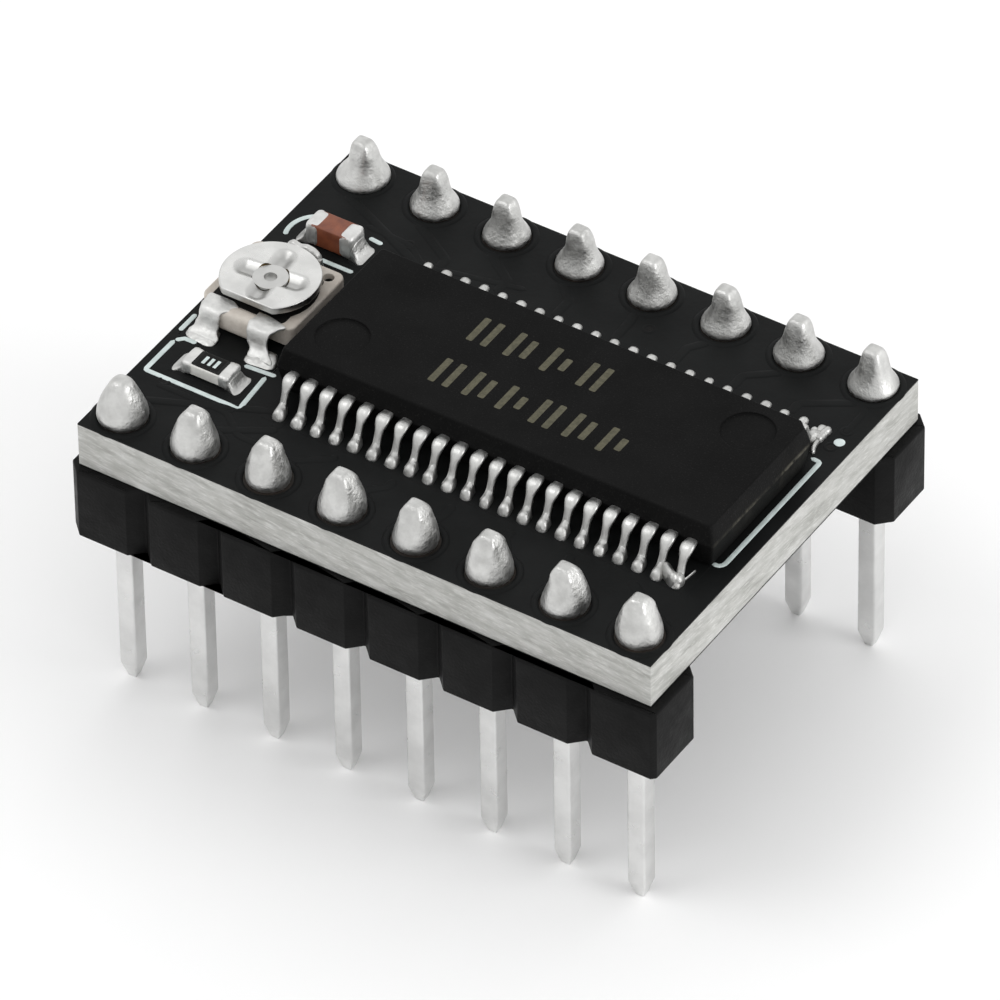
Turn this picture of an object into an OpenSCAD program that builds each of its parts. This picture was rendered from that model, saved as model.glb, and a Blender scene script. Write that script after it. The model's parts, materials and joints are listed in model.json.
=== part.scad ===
// Stepper driver module: a small circuit board with a motor driver chip on top,
// a current-setting trimmer, and two rows of pins that plug into a carrier board.
// X runs along the pin rows, Y across them and Z up. The origin is midway
// between the rows, at the height of the pin tips. Millimetres throughout.

/* [Circuit board] */
// Length of the board, along the pin rows
board_length = 19.7; // [19.6:0.1:20.2]
// Width of the board, across the pin rows
board_width = 14.6; // [14.6:0.1:15.2]
// Thickness of the finished board, with its solder mask
board_thickness = 1.6; // [1.2:0.1:2.0]

/* [Pin headers] */
// Distance between neighbouring pins, the 0.1 inch grid
pin_pitch = 2.54; // [2.54]
// Distance between the two rows, five grid steps
row_spacing = 12.7; // [12.7]
// Side of the square pins
pin_width = 0.6; // [0.5:0.02:0.64]
// Overall length of a pin
pin_length = 11.54; // [11.0:0.02:12.0]
// Length of pin that stands below its plastic and enters a socket
mating_length = 6.0; // [5.5:0.1:7.0]
// Height of the black plastic strip
housing_height = 2.5; // [2.3:0.1:2.6]
// Depth of each V notch between two cells of the strip
notch_depth = 0.42; // [0.3:0.02:0.6]

/* [Driver chip] */
// Length of the moulded body
chip_length = 15.0; // [14.6:0.1:15.2]
// Width of the moulded body
chip_width = 5.6; // [5.4:0.1:5.8]
// Height of the moulded body
chip_height = 1.5; // [1.4:0.05:1.6]
// Distance of the chip's middle from the board's middle, along X
chip_x = 1.76; // [1.7:0.01:1.78]
// Distance of the chip's middle from the board's middle, along Y
chip_y = -0.24; // [-0.26:0.02:0.1]
// Overall width over the tips of the leads
lead_span = 7.6; // [7.4:0.1:7.8]
// Distance between neighbouring leads
lead_pitch = 0.65; // [0.65]
// Width of one lead
lead_width = 0.22; // [0.18:0.02:0.26]
// Thickness of the lead frame
lead_thickness = 0.15; // [0.12:0.01:0.16]

/* [Trimmer] */
// Diameter of the turning metal disc
rotor_d = 3.05; // [2.8:0.05:3.1]
// Distance of the trimmer's axis from the board's middle, along X
trimmer_x = -7.93; // [-8.0:0.01:-7.9]
// Width of the ceramic base, along X
trimmer_base_w = 3.2; // [3.0:0.1:3.2]
// Angle of the driver cross at rest, degrees
cross_angle = 6; // [0:1:45]

/* [Capacitor and resistor beside the trimmer] */
// Length of the capacitor over its end caps
capacitor_length = 1.6; // [1.5:0.05:1.7]
// Height of the capacitor
capacitor_height = 0.8; // [0.6:0.05:0.85]
// Length of the resistor over its end caps
resistor_length = 1.6; // [1.5:0.05:1.7]
// Height of the resistor
resistor_height = 0.45; // [0.4:0.05:0.55]

/* [Hidden] */
pins_per_row = 8;
leads_per_side = 22;
PIN_NUMBERS = [1:pins_per_row];

// Colours
mask_colour = [0.13, 0.13, 0.13];
laminate_colour = [0.72, 0.72, 0.68];
print_colour = [0.80, 0.86, 0.85];
copper_colour = [0.80, 0.55, 0.38];
plastic_colour = [0.12, 0.12, 0.12];
tin_colour = [0.83, 0.83, 0.82];
solder_colour = [0.76, 0.76, 0.76];
mould_colour = [0.15, 0.15, 0.15];
ceramic_colour = [0.80, 0.75, 0.70];
steel_colour = [0.86, 0.86, 0.86];
gold_colour = [0.85, 0.68, 0.32];
silicon_colour = [0.38, 0.40, 0.45];
brown_ceramic_colour = [0.48, 0.26, 0.19];
tan_ceramic_colour = [0.62, 0.48, 0.36];
alumina_colour = [0.93, 0.92, 0.88];
glaze_colour = [0.1, 0.1, 0.1];
film_colour = [0.25, 0.22, 0.2];

// Heights of the stack, from the pin tips up
board_bottom = mating_length + housing_height;
board_top = board_bottom + board_thickness;
mask_t = 0.05;
copper_t = 0.035;
core_bottom = board_bottom + mask_t;
core_top = board_top - mask_t;
core_height = core_top - core_bottom;
print_t = 0.02;

// Plated holes
barrel_inner_r = 0.5;
barrel_wall = 0.035;
barrel_r = barrel_inner_r + barrel_wall;
pad_r = 0.9;
pad_open_r = 0.78;
pad_ring_r = 0.93;
pad_ring_rise = 0.03;
via_r = 0.2;
via_inner_r = 0.12;

// Pins and plastic strips
row_y = row_spacing / 2;
first_pin_x = -(pins_per_row - 1) / 2 * pin_pitch;
strip_length = pins_per_row * pin_pitch;
pin_tip_width = 0.3;
pin_tip_length = 0.55;
pin_edge = 0.05;
strip_edge = 0.12;

// Solder joints of the pins: foot radius and height of both kinds, and their spread
egg_joint_size = [0.73, 1.3];
bell_joint_size = [0.75, 1.25];
joint_spread = [0.02, 0.05];
egg_top_r = 0.2;
egg_swell = 0.55;
bell_neck_r = 0.36;
bell_draw = 2.2;
joint_steps = 6;

// Chip, measured up from the board's top face
standoff = 0.1;
lead_axis_z = 0.95;
lead_bend_r = 0.16;
lead_slope = 80;
lead_exit = chip_width / 2;
shoulder_reach = 0.25;
foot_z = lead_thickness / 2;
lead_inner_y = 1.95;
lead_fan = 0.74;
stub_width = 0.34;
stub_length = 0.26;
draft = 0.14;
pin_one_bevel = 0.25;
ejector_d = 1.65;
ejector_depth = 0.06;
ejector_spots = [[-6.15, -1.29], [6.05, 1.44]];
slug_size = [7.0, 3.2, 0.25];
die_size = [4.4, 2.6, 0.2];
wire_t = 0.03;
wire_loop = 0.9;
wire_root_fan = 0.28;
wire_landing = 0.15;
wire_die_inset = 0.2;
lead_half_span = (leads_per_side - 1) / 2 * lead_pitch;
land_w = 0.36;
land_from = 3.05;
land_to = 4.15;
land_gap = 0.05;
slug_land_inset = 0.1;
foot_heel = 0.42;
foot_solder_w = 0.28;
foot_solder_rise = 0.11;
foot_solder_gap = 0.04;

// Trimmer, measured up from the board's top face
base_front = -1.75;
base_rear = 1.65;
base_low = 0.1;
base_high = 0.75;
track_t = 0.02;
track_inner_r = 0.92;
track_outer_r = 1.45;
disc_low = 1.0;
disc_high = 1.25;
slot_floor = 1.08;
pivot_r = 0.36;
pivot_clearance = 0.04;
rivet_head_r = 0.54;
rivet_head_h = 0.08;
slot_w = 0.42;
slot_reach = 1.02;
disc_flat = 1.24;
terminal_w = 1.0;
terminal_x = 1.05;
terminal_t = 0.12;
terminal_top_reach = 0.8;
track_edge_y = base_front + 0.3;
track_from = -38;
track_to = 218;
collector_w = 1.3;
collector_front = -0.6;
collector_lip = 0.1;
rivet_bore_r = 0.2;
rivet_bore_from = 0.4;
stop_rib_size = [1.0, 0.3, 0.2];
stop_rib_y = -1.42;
base_hole_r = 0.16;
base_hole_depth = 0.25;
base_hole_at = [1.18, 1.28];
under_disc_t = 0.1;
stop_pad_r = [1.26, 1.5];
stop_pad_span = [66, 114];
leaf_r = [0.45, 0.8];
leaf_arm_w = 0.28;
leaf_arm_from = 0.7;
leaf_arm_length = 0.5;
contact_at = 1.05;
contact_r = 0.13;
contact_gap = 0.01;
clip_solder = [0.5, 0.55];
clip_solder_under = 0.45;
collector_solder = [0.3, 0.5];
collector_solder_under = 0.3;

// Chip parts
wrap_t = 0.03;
terminal_reach = 0.32;
seat_z = 0.02;
part_width = 0.8;
capacitor_size = [capacitor_length, part_width, capacitor_height];
resistor_size = [resistor_length, part_width, resistor_height];
element_t = 0.02;
element_inset = 0.1;
overcoat_t = 0.04;
film_side_gap = 0.16;
end_solder_reach = 0.28;
end_solder_climb = 0.7;
capacitor_at = [-7.88, 3.33];
resistor_at = [-7.75, -3.43];
bypass_at = [[-7.2, 3.0], [-4.4, 3.0], [-1.6, 3.0], [-7.2, -3.0], [-4.4, -3.0]];
sense_at = [[5.4, 2.9], [5.4, -2.9]];
sense_size = [3.2, 1.6, 0.6];
sense_reach = 0.5;
bypass_size = [1.6, 0.8, 0.8];
bore_fn = 48;
fine_fn = 32;

// Vias: a grid under the chip's metal slug, and single ones by the board's edge
slug_vias = [for (x = [-2.4:1.2:2.4], y = [-0.9, 0.9]) [chip_x + x, chip_y + y]];
edge_vias = [[9.29, 4.23], [9.25, 3.41], [-8.76, -4.75], [-5.9, -4.7], [-6.04, 4.48], [2.0, 4.95]];
via_spots = concat(slug_vias, edge_vias);

// Solder lands as [x, y, length along X, length along Y]
lead_lands = [for (i = [0:leads_per_side - 1], s = [-1, 1])
    [lead_x(i), s * (land_from + land_to) / 2, land_w, land_to - land_from]];
slug_land = [chip_x, chip_y, slug_size[0] - 2 * slug_land_inset, slug_size[1] - 2 * slug_land_inset];
trimmer_lands = [
    [trimmer_x - terminal_x, -1.85, 1.1, 1.1],
    [trimmer_x + terminal_x, -1.85, 1.1, 1.1],
    [trimmer_x, 1.75, 1.5, 0.7]
];
top_lands = concat(lead_lands, [slug_land], trimmer_lands,
    chip_lands(capacitor_at, capacitor_size), chip_lands(resistor_at, resistor_size));
bottom_lands = concat([slug_land],
    [for (p = bypass_at) each chip_lands(p, bypass_size)],
    [for (p = sense_at) each chip_lands(p, sense_size)]);

function pin_x(i) = first_pin_x + (i - 1) * pin_pitch;
function lead_x(i) = chip_x - lead_half_span + i * lead_pitch;
// The two lands of a chip part that lies along X
function chip_lands(at, size) = [for (s = [-1, 1])
    [at[0] + s * (size[0] / 2 - 0.05), at[1], 0.8, size[1] + 0.1]];
// Points of an arc about c, from angle a to angle b
function arc(c, r, a, b, steps = 5) =
    [for (k = [0:steps]) let (t = a + (b - a) * k / steps) c + r * [cos(t), sin(t)]];
// A hollow curve from [length, 0] up to [0, height], as melted solder pulls in
function solder_curve(length, height, steps = 6) =
    [for (k = [0:steps]) let (t = 90 * k / steps) [length * (1 - sin(t)), height * (1 - cos(t))]];

// ---------------------------------------------------------------- helpers

module on_board() {
    translate([0, 0, board_top]) children();
}

module under_board() {
    translate([0, 0, board_bottom]) mirror([0, 0, 1]) children();
}

// Repeats a child at every pin of both rows, at height 0
module at_all_pins() {
    for (i = PIN_NUMBERS, s = [-1, 1]) {
        translate([pin_x(i), s * row_y, 0]) children();
    }
}

module at_vias() {
    for (p = via_spots) {
        translate([p[0], p[1], 0]) children();
    }
}

// Flat plates at a list of lands, grown by a margin on every side
module land_plates(lands, height, grow = 0) {
    for (l = lands) {
        translate([l[0], l[1], height / 2]) {
            cube([l[2] + 2 * grow, l[3] + 2 * grow, height], center = true);
        }
    }
}

// A profile in (Y, Z), extruded along X and centred on it
module along_x(length) {
    rotate([90, 0, 90]) linear_extrude(length, center = true) children();
}

// A profile in (X, Z), extruded along Y and centred on it
module along_y(length) {
    rotate([90, 0, 0]) linear_extrude(length, center = true) children();
}

// ---------------------------------------------------------------- board

module board_sheet(height) {
    translate([0, 0, height / 2]) cube([board_length, board_width, height], center = true);
}

module pcb_core() {
    color(laminate_colour)
    translate([0, 0, core_bottom])
    difference() {
        board_sheet(core_height);
        at_all_pins() translate([0, 0, -1]) cylinder(r = barrel_r, h = core_height + 2, $fn = bore_fn);
        at_vias() translate([0, 0, -1]) cylinder(r = via_r, h = core_height + 2, $fn = fine_fn);
    }
}

module solder_mask_top() {
    color(mask_colour)
    translate([0, 0, core_top])
    difference() {
        union() {
            board_sheet(mask_t);
            at_all_pins() cylinder(r = pad_ring_r, h = mask_t + pad_ring_rise, $fn = bore_fn);
        }
        at_all_pins() translate([0, 0, -1]) cylinder(r = pad_r, h = 1 + copper_t, $fn = bore_fn);
        at_all_pins() cylinder(r = pad_open_r, h = 1, $fn = bore_fn);
        translate([0, 0, -0.5]) land_plates(top_lands, 1, land_gap);
    }
}

module solder_mask_bottom() {
    color(mask_colour)
    translate([0, 0, board_bottom])
    difference() {
        board_sheet(mask_t);
        at_all_pins() translate([0, 0, -0.5]) cylinder(r = pad_open_r, h = 1, $fn = bore_fn);
        translate([0, 0, -0.5]) land_plates(bottom_lands, 1, land_gap);
    }
}

module copper_lands_top() {
    color(copper_colour)
    translate([0, 0, core_top])
    land_plates(top_lands, copper_t);
}

module copper_lands_bottom() {
    color(copper_colour)
    translate([0, 0, core_bottom - copper_t])
    land_plates(bottom_lands, copper_t);
}

// Copper tubes through the board, with a wide pad on top and a small one below
module plated_holes() {
    color(copper_colour)
    at_all_pins()
    difference() {
        union() {
            translate([0, 0, core_bottom]) cylinder(r = barrel_r, h = core_height, $fn = bore_fn);
            translate([0, 0, core_top]) cylinder(r = pad_r, h = copper_t, $fn = bore_fn);
            translate([0, 0, core_bottom - copper_t]) {
                cylinder(r = pad_open_r - land_gap, h = copper_t, $fn = bore_fn);
            }
        }
        translate([0, 0, board_bottom - 1]) {
            cylinder(r = barrel_inner_r, h = board_thickness + 2, $fn = bore_fn);
        }
    }
}

module plated_vias() {
    color(copper_colour)
    translate([0, 0, core_bottom])
    at_vias()
    difference() {
        cylinder(r = via_r, h = core_height, $fn = fine_fn);
        translate([0, 0, -1]) cylinder(r = via_inner_r, h = core_height + 2, $fn = fine_fn);
    }
}

// A printed line between two points of the board's face
module print_line(from, to, width = 0.16) {
    step = to - from;
    translate([from[0], from[1], 0])
    rotate([0, 0, atan2(step[1], step[0])])
    translate([-width / 2, -width / 2, 0])
    cube([norm(step) + width, width, print_t]);
}

module print_path(points) {
    for (k = [1:len(points) - 1]) {
        print_line(points[k - 1], points[k]);
    }
}

// Outlines of the parts and a pin-one dot; the plain print holds no lettering
module silkscreen_top() {
    frame_right = -6.22;
    frame_left = -9.52;
    frame_front = -4.28;
    dot_at = [9.37, 3.7];
    color(print_colour)
    on_board() {
        print_path([[frame_left, -2.75], [frame_left, frame_front],
            [frame_right, frame_front], [frame_right, -2.6]]);
        print_line([-9.63, -1.5], [-9.63, -2.3]);
        print_path([[9.0, 2.72], [9.35, 2.72], [9.35, -2.66], [9.0, -2.72]]);
        print_path(arc([-8.55, 3.35], 0.95, 190, 100, 6));
        print_line([-6.85, 4.05], [-6.35, 4.0]);
        print_line([-7.9, 2.55], [-6.75, 2.55]);
        translate([dot_at[0], dot_at[1], 0]) cylinder(r = 0.17, h = print_t, $fn = fine_fn);
    }
}

// ---------------------------------------------------------------- headers

// Outline of a strip from above: square cells joined by V notches
function strip_outline() = let (
    half = pin_pitch / 2,
    flat = half - notch_depth,
    lower = [for (i = PIN_NUMBERS) each [
        [pin_x(i) - half, -flat], [pin_x(i) - flat, -half],
        [pin_x(i) + flat, -half], [pin_x(i) + half, -flat]]],
    upper = [for (i = [pins_per_row:-1:1]) each [
        [pin_x(i) + half, flat], [pin_x(i) + flat, half],
        [pin_x(i) - flat, half], [pin_x(i) - half, flat]]]
) concat(lower, upper);

// Cross-section of a strip with its long edges slightly bevelled
function strip_section() = let (half = pin_pitch / 2) [
    [-half, strip_edge], [strip_edge - half, 0], [half - strip_edge, 0], [half, strip_edge],
    [half, housing_height - strip_edge], [half - strip_edge, housing_height],
    [strip_edge - half, housing_height], [-half, housing_height - strip_edge]];

module housing(row) {
    color(plastic_colour)
    translate([0, row * row_y, mating_length])
    difference() {
        intersection() {
            linear_extrude(housing_height) polygon(strip_outline());
            along_x(strip_length) polygon(strip_section());
        }
        for (i = PIN_NUMBERS) {
            translate([pin_x(i), 0, housing_height / 2]) {
                cube([pin_width, pin_width, housing_height + 1], center = true);
            }
        }
    }
}

// One pin from its tip: square wire with bevelled edges and coined ends
function pin_side() = let (w = pin_width / 2, t = pin_tip_width / 2) [
    [-t, 0], [t, 0], [w, pin_tip_length], [w, pin_length - pin_tip_length],
    [t, pin_length], [-t, pin_length], [-w, pin_length - pin_tip_length], [-w, pin_tip_length]];

function pin_section() = let (w = pin_width / 2, b = pin_width / 2 - pin_edge) [
    [-w, -b], [-b, -w], [b, -w], [w, -b], [w, b], [b, w], [-b, w], [-w, b]];

module pin_solid() {
    intersection() {
        along_y(pin_width) polygon(pin_side());
        along_x(pin_width) polygon(pin_side());
        linear_extrude(pin_length) polygon(pin_section());
    }
}

module header_pin(i, row) {
    color(tin_colour)
    translate([pin_x(i), row * row_y, 0])
    pin_solid();
}

// Solder that fills a plated hole and stands on its pad round the pin.
// Front joints bulge like eggs, rear joints are hollow bells.
function egg_joint(base_r, height) = concat([[0, 0], [base_r, 0]],
    [for (k = [1:joint_steps]) let (t = k / joint_steps)
        [base_r * pow(1 - t, egg_swell) + egg_top_r * t, height * t]],
    [[0, height]]);
function bell_joint(base_r, height) = concat([[0, 0], [base_r, 0]],
    [for (k = [1:joint_steps]) let (t = k / joint_steps)
        [bell_neck_r + (base_r - bell_neck_r) * pow(1 - t, bell_draw), height * t]],
    [[0, height]]);
// Foot radius and height of the i-th joint, a little different for each
function joint_r(size, i) = size[0] + joint_spread[0] * sin(97 * i);
function joint_h(size, i) = size[1] + joint_spread[1] * sin(61 * i);

module solder_joint(i, row, outline) {
    translate([pin_x(i), row * row_y, 0])
    difference() {
        union() {
            translate([0, 0, core_top + copper_t]) {
                rotate_extrude($fn = bore_fn) polygon(outline);
            }
            translate([0, 0, core_bottom]) {
                cylinder(r = barrel_inner_r, h = core_height + copper_t, $fn = bore_fn);
            }
        }
        pin_solid();
    }
}

module solder_pins_front() {
    color(solder_colour)
    for (i = PIN_NUMBERS) {
        solder_joint(i, -1, egg_joint(joint_r(egg_joint_size, i), joint_h(egg_joint_size, i)));
    }
}

module solder_pins_rear() {
    color(solder_colour)
    for (i = PIN_NUMBERS) {
        solder_joint(i, 1, bell_joint(joint_r(bell_joint_size, i), joint_h(bell_joint_size, i)));
    }
}

// ---------------------------------------------------------------- driver chip

module at_chip() {
    translate([chip_x, chip_y, board_top]) children();
}

// Puts a child that points to +Y on one side of the chip, and mirrors it to the other
module on_side(side) {
    if (side > 0) {
        children();
    } else {
        mirror([0, 1, 0]) children();
    }
}

// Side view of the body: two drafted halves that meet at the lead frame
function mould_side(length) = let (h = length / 2, top = standoff + chip_height) [
    [draft - h, standoff], [h - draft, standoff], [h, lead_axis_z - lead_thickness / 2],
    [h, lead_axis_z + lead_thickness / 2], [h - draft, top], [draft - h, top],
    [-h, lead_axis_z + lead_thickness / 2], [-h, lead_axis_z - lead_thickness / 2]];

// Plan of the body, with the corner by pin one cut off
function mould_plan() = let (x = chip_length / 2, y = chip_width / 2, b = pin_one_bevel) [
    [-x, -y], [x, -y], [x, y - b], [x - b, y], [-x, y]];

// Inner end of one lead: a flat finger that leans towards the slug
module inner_lead(i) {
    root_x = lead_x(i) - chip_x;
    tip_x = root_x * lead_fan;
    half = lead_width / 2;
    translate([0, 0, lead_axis_z - lead_thickness / 2])
    linear_extrude(lead_thickness)
    polygon([[tip_x - half, lead_inner_y], [tip_x + half, lead_inner_y],
        [root_x + half, lead_exit], [root_x - half, lead_exit]]);
}

// Side view of the outer gull wing, in (outward, up): out, down the slope and flat on its foot
function gull_wing() = let (
    t = lead_thickness / 2,
    c1 = [lead_exit + shoulder_reach, lead_axis_z - lead_bend_r],
    a = c1 + lead_bend_r * [cos(90 - lead_slope), sin(90 - lead_slope)],
    b_up = lead_bend_r * [cos(270 - lead_slope), sin(270 - lead_slope)],
    c2_z = foot_z + lead_bend_r,
    slope_length = (a[1] - c2_z - b_up[1]) / sin(lead_slope),
    c2 = [a[0] + slope_length * cos(lead_slope) - b_up[0], c2_z],
    toe = lead_span / 2
) concat(
    [[lead_exit, lead_axis_z + t]],
    arc(c1, lead_bend_r + t, 90, 90 - lead_slope),
    arc(c2, lead_bend_r - t, 270 - lead_slope, 270),
    [[toe, foot_z + t], [toe, foot_z - t]],
    arc(c2, lead_bend_r + t, 270, 270 - lead_slope),
    arc(c1, lead_bend_r - t, 90 - lead_slope, 90),
    [[lead_exit, lead_axis_z - t]]);

module lead(i) {
    inner_lead(i);
    translate([lead_x(i) - chip_x, 0, 0]) {
        along_x(lead_width) polygon(gull_wing());
        translate([0, lead_exit + stub_length / 2, lead_axis_z]) {
            cube([stub_width, stub_length, lead_thickness], center = true);
        }
    }
}

module leads(side) {
    color(tin_colour)
    at_chip()
    on_side(side)
    for (i = [0:leads_per_side - 1]) {
        lead(i);
    }
}

// One gold wire from the die's edge to a finger: a flat-sided arch in its own plane
module bond_wire(i) {
    die_top = standoff + slug_size[2] + die_size[2];
    finger_top = lead_axis_z + lead_thickness / 2;
    lean = lead_fan + (1 - lead_fan) * wire_landing / (lead_exit - lead_inner_y);
    from = [(lead_x(i) - chip_x) * wire_root_fan, die_size[1] / 2 - wire_die_inset];
    to = [(lead_x(i) - chip_x) * lean, lead_inner_y + wire_landing];
    span = norm(to - from);
    steps = 6;
    arch = [for (k = [0:steps]) let (t = k / steps)
        [span * t, die_top + (finger_top - die_top) * t + wire_loop * t * (1 - t)]];
    above = [for (k = [steps:-1:0]) arch[k] + [0, wire_t]];
    translate([from[0], from[1], 0])
    rotate([0, 0, atan2(to[1] - from[1], to[0] - from[0])])
    along_y(wire_t) polygon(concat(arch, above));
}

module all_bond_wires() {
    for (s = [-1, 1], i = [0:leads_per_side - 1]) {
        on_side(s) bond_wire(i);
    }
}

module slug_block() {
    translate([0, 0, standoff + slug_size[2] / 2]) cube(slug_size, center = true);
}

module die_block() {
    translate([0, 0, standoff + slug_size[2] + die_size[2] / 2]) cube(die_size, center = true);
}

module ic_body() {
    color(mould_colour)
    at_chip()
    difference() {
        intersection() {
            along_y(chip_width) polygon(mould_side(chip_length));
            along_x(chip_length) polygon(mould_side(chip_width));
            linear_extrude(standoff + chip_height) polygon(mould_plan());
        }
        for (p = ejector_spots) {
            translate([p[0], p[1], standoff + chip_height - ejector_depth]) {
                cylinder(d = ejector_d, h = 1, $fn = bore_fn);
            }
        }
        slug_block();
        die_block();
        for (s = [-1, 1], i = [0:leads_per_side - 1]) {
            on_side(s) inner_lead(i);
        }
        all_bond_wires();
    }
}

module ic_die_pad() {
    color(copper_colour)
    at_chip()
    slug_block();
}

module ic_die() {
    color(silicon_colour)
    at_chip()
    die_block();
}

module ic_bond_wires() {
    color(gold_colour)
    at_chip()
    all_bond_wires();
}

module solder_chip_pad() {
    gap = mask_t - copper_t;
    color(solder_colour)
    at_chip()
    translate([0, 0, (standoff - gap) / 2])
    cube([slug_land[2], slug_land[3], standoff + gap], center = true);
}

// Solder under and in front of one foot, drawn up over the toe
module lead_solder(side) {
    gap = mask_t - copper_t;
    toe = lead_span / 2;
    heel = toe - foot_heel;
    toe_to_land_end = land_to - toe - side * chip_y;
    rise = solder_curve(toe_to_land_end - foot_solder_gap, foot_solder_rise + gap);
    color(solder_colour)
    at_chip()
    on_side(side)
    for (i = [0:leads_per_side - 1]) {
        translate([lead_x(i) - chip_x, 0, 0])
        along_x(foot_solder_w)
        polygon(concat([[heel, -gap]], [for (p = rise) [toe + p[0], p[1] - gap]], [[toe, 0], [heel, 0]]));
    }
}

// ---------------------------------------------------------------- trimmer

module at_trimmer() {
    translate([trimmer_x, 0, board_top]) children();
}

// A flat ring with a gap, from angle a to angle b
module ring_sector(inner_r, outer_r, height, a, b) {
    rotate([0, 0, a]) rotate_extrude(angle = b - a, $fn = bore_fn) {
        translate([inner_r, 0]) square([outer_r - inner_r, height]);
    }
}

module stop_rib() {
    translate([0, stop_rib_y, base_high + stop_rib_size[2] / 2]) cube(stop_rib_size, center = true);
}

module trimmer_base() {
    depth = base_rear - base_front;
    color(ceramic_colour)
    at_trimmer()
    difference() {
        union() {
            translate([-trimmer_base_w / 2, base_front, base_low]) {
                cube([trimmer_base_w, depth, base_high - base_low]);
            }
            stop_rib();
        }
        translate([0, 0, -1]) cylinder(r = pivot_r, h = 3, $fn = bore_fn);
        translate([base_hole_at[0], base_hole_at[1], base_high - base_hole_depth]) {
            cylinder(r = base_hole_r, h = 1, $fn = fine_fn);
        }
    }
}

module trimmer_track() {
    color(glaze_colour)
    at_trimmer()
    translate([0, 0, base_high])
    ring_sector(track_inner_r, track_outer_r, track_t, track_from, track_to);
}

// Contact strip below the base, with the hollow rivet that the disc turns on
module trimmer_collector() {
    color(steel_colour)
    at_trimmer() {
        translate([-collector_w / 2, collector_front, seat_z]) {
            cube([collector_w, base_rear - collector_front + terminal_t, base_low - seat_z]);
        }
        translate([-collector_w / 2, base_rear, seat_z]) {
            cube([collector_w, terminal_t, base_high + collector_lip - seat_z]);
        }
        difference() {
            union() {
                translate([0, 0, seat_z]) {
                    cylinder(r = pivot_r, h = slot_floor + 0.01 - seat_z, $fn = bore_fn);
                }
                translate([0, 0, slot_floor + 0.01]) {
                    cylinder(r = rivet_head_r, h = rivet_head_h, $fn = bore_fn);
                }
            }
            translate([0, 0, rivet_bore_from]) cylinder(r = rivet_bore_r, h = 2, $fn = fine_fn);
        }
    }
}

// Strip folded round the base's front edge, in (Y, Z)
function clip_profile() = let (t = terminal_t, f = base_front, in = base_front + terminal_top_reach) [
    [in, seat_z], [f - t, seat_z], [f - t, base_high + t], [in, base_high + t],
    [in, base_high + track_t], [track_edge_y, base_high + track_t], [track_edge_y, base_high],
    [f, base_high], [f, base_low], [in, base_low]];

module trimmer_terminal(side) {
    color(tin_colour)
    at_trimmer()
    translate([side * terminal_x, 0, 0])
    along_x(terminal_w)
    polygon(clip_profile());
}

module trimmer_rotor() {
    color(steel_colour)
    at_trimmer() {
        difference() {
            translate([0, 0, disc_low]) cylinder(d = rotor_d, h = disc_high - disc_low, $fn = 96);
            translate([-2, -disc_flat - 2, 0]) cube([4, 2, 3]);
            cylinder(r = pivot_r + pivot_clearance, h = 3, $fn = bore_fn);
            translate([0, 0, slot_floor]) {
                cylinder(r = rivet_head_r + pivot_clearance, h = 1, $fn = bore_fn);
                rotate([0, 0, cross_angle]) {
                    translate([-slot_reach, -slot_w / 2, 0]) cube([2 * slot_reach, slot_w, 1]);
                    translate([-slot_w / 2, -slot_reach, 0]) cube([slot_w, 2 * slot_reach, 1]);
                }
            }
        }
        translate([0, 0, disc_low - under_disc_t]) {
            ring_sector(stop_pad_r[0], stop_pad_r[1], under_disc_t, stop_pad_span[0], stop_pad_span[1]);
        }
    }
}

// Leaf under the disc, with a round contact that slides on the track
module trimmer_wiper() {
    contact_low = base_high + track_t + contact_gap;
    color(gold_colour)
    at_trimmer() {
        translate([0, 0, disc_low - under_disc_t]) {
            ring_sector(leaf_r[0], leaf_r[1], under_disc_t, 0, 360);
            translate([-leaf_arm_w / 2, leaf_arm_from, 0]) cube([leaf_arm_w, leaf_arm_length, under_disc_t]);
        }
        translate([0, contact_at, contact_low]) {
            cylinder(r = contact_r, h = disc_low - under_disc_t - contact_low, $fn = fine_fn);
        }
    }
}

// Solder in front of the two clips and behind the collector
module solder_trimmer() {
    gap = mask_t - copper_t;
    front = base_front - terminal_t;
    rear = base_rear + terminal_t;
    front_under = front + clip_solder_under;
    rear_under = rear - collector_solder_under;
    front_curve = solder_curve(clip_solder[0], clip_solder[1]);
    rear_curve = solder_curve(collector_solder[0], collector_solder[1]);
    color(solder_colour)
    at_trimmer() {
        for (s = [-1, 1]) {
            translate([s * terminal_x, 0, 0])
            along_x(terminal_w)
            polygon(concat([[front_under, -gap]], [for (p = front_curve) [front - p[0], p[1] - gap]],
                [[front, seat_z], [front_under, seat_z]]));
        }
        along_x(collector_w)
        polygon(concat([[rear_under, -gap]], [for (p = rear_curve) [rear + p[0], p[1] - gap]],
            [[rear, seat_z], [rear_under, seat_z]]));
    }
}

// ---------------------------------------------------------------- chip parts

// Body of a chip part that lies along X on the board, with its size over the end caps
module chip_core(size, height) {
    translate([0, 0, seat_z + wrap_t + height / 2]) {
        cube([size[0] - 2 * wrap_t, size[1] - 2 * wrap_t, height], center = true);
    }
}

module end_caps(size, height, reach) {
    difference() {
        for (s = [-1, 1]) {
            translate([s * (size[0] - reach) / 2, 0, seat_z + size[2] / 2]) {
                cube([reach, size[1], size[2]], center = true);
            }
        }
        chip_core(size, height);
    }
}

module end_solder(size, reach) {
    gap = mask_t - copper_t;
    rise = solder_curve(end_solder_reach, size[2] * end_solder_climb);
    for (s = [0, 180]) {
        rotate([0, 0, s])
        along_y(size[1])
        polygon(concat([[size[0] / 2 - reach, -gap]],
            [for (p = rise) [size[0] / 2 + p[0], p[1] - gap]],
            [[size[0] / 2, seat_z], [size[0] / 2 - reach, seat_z]]));
    }
}

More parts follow.
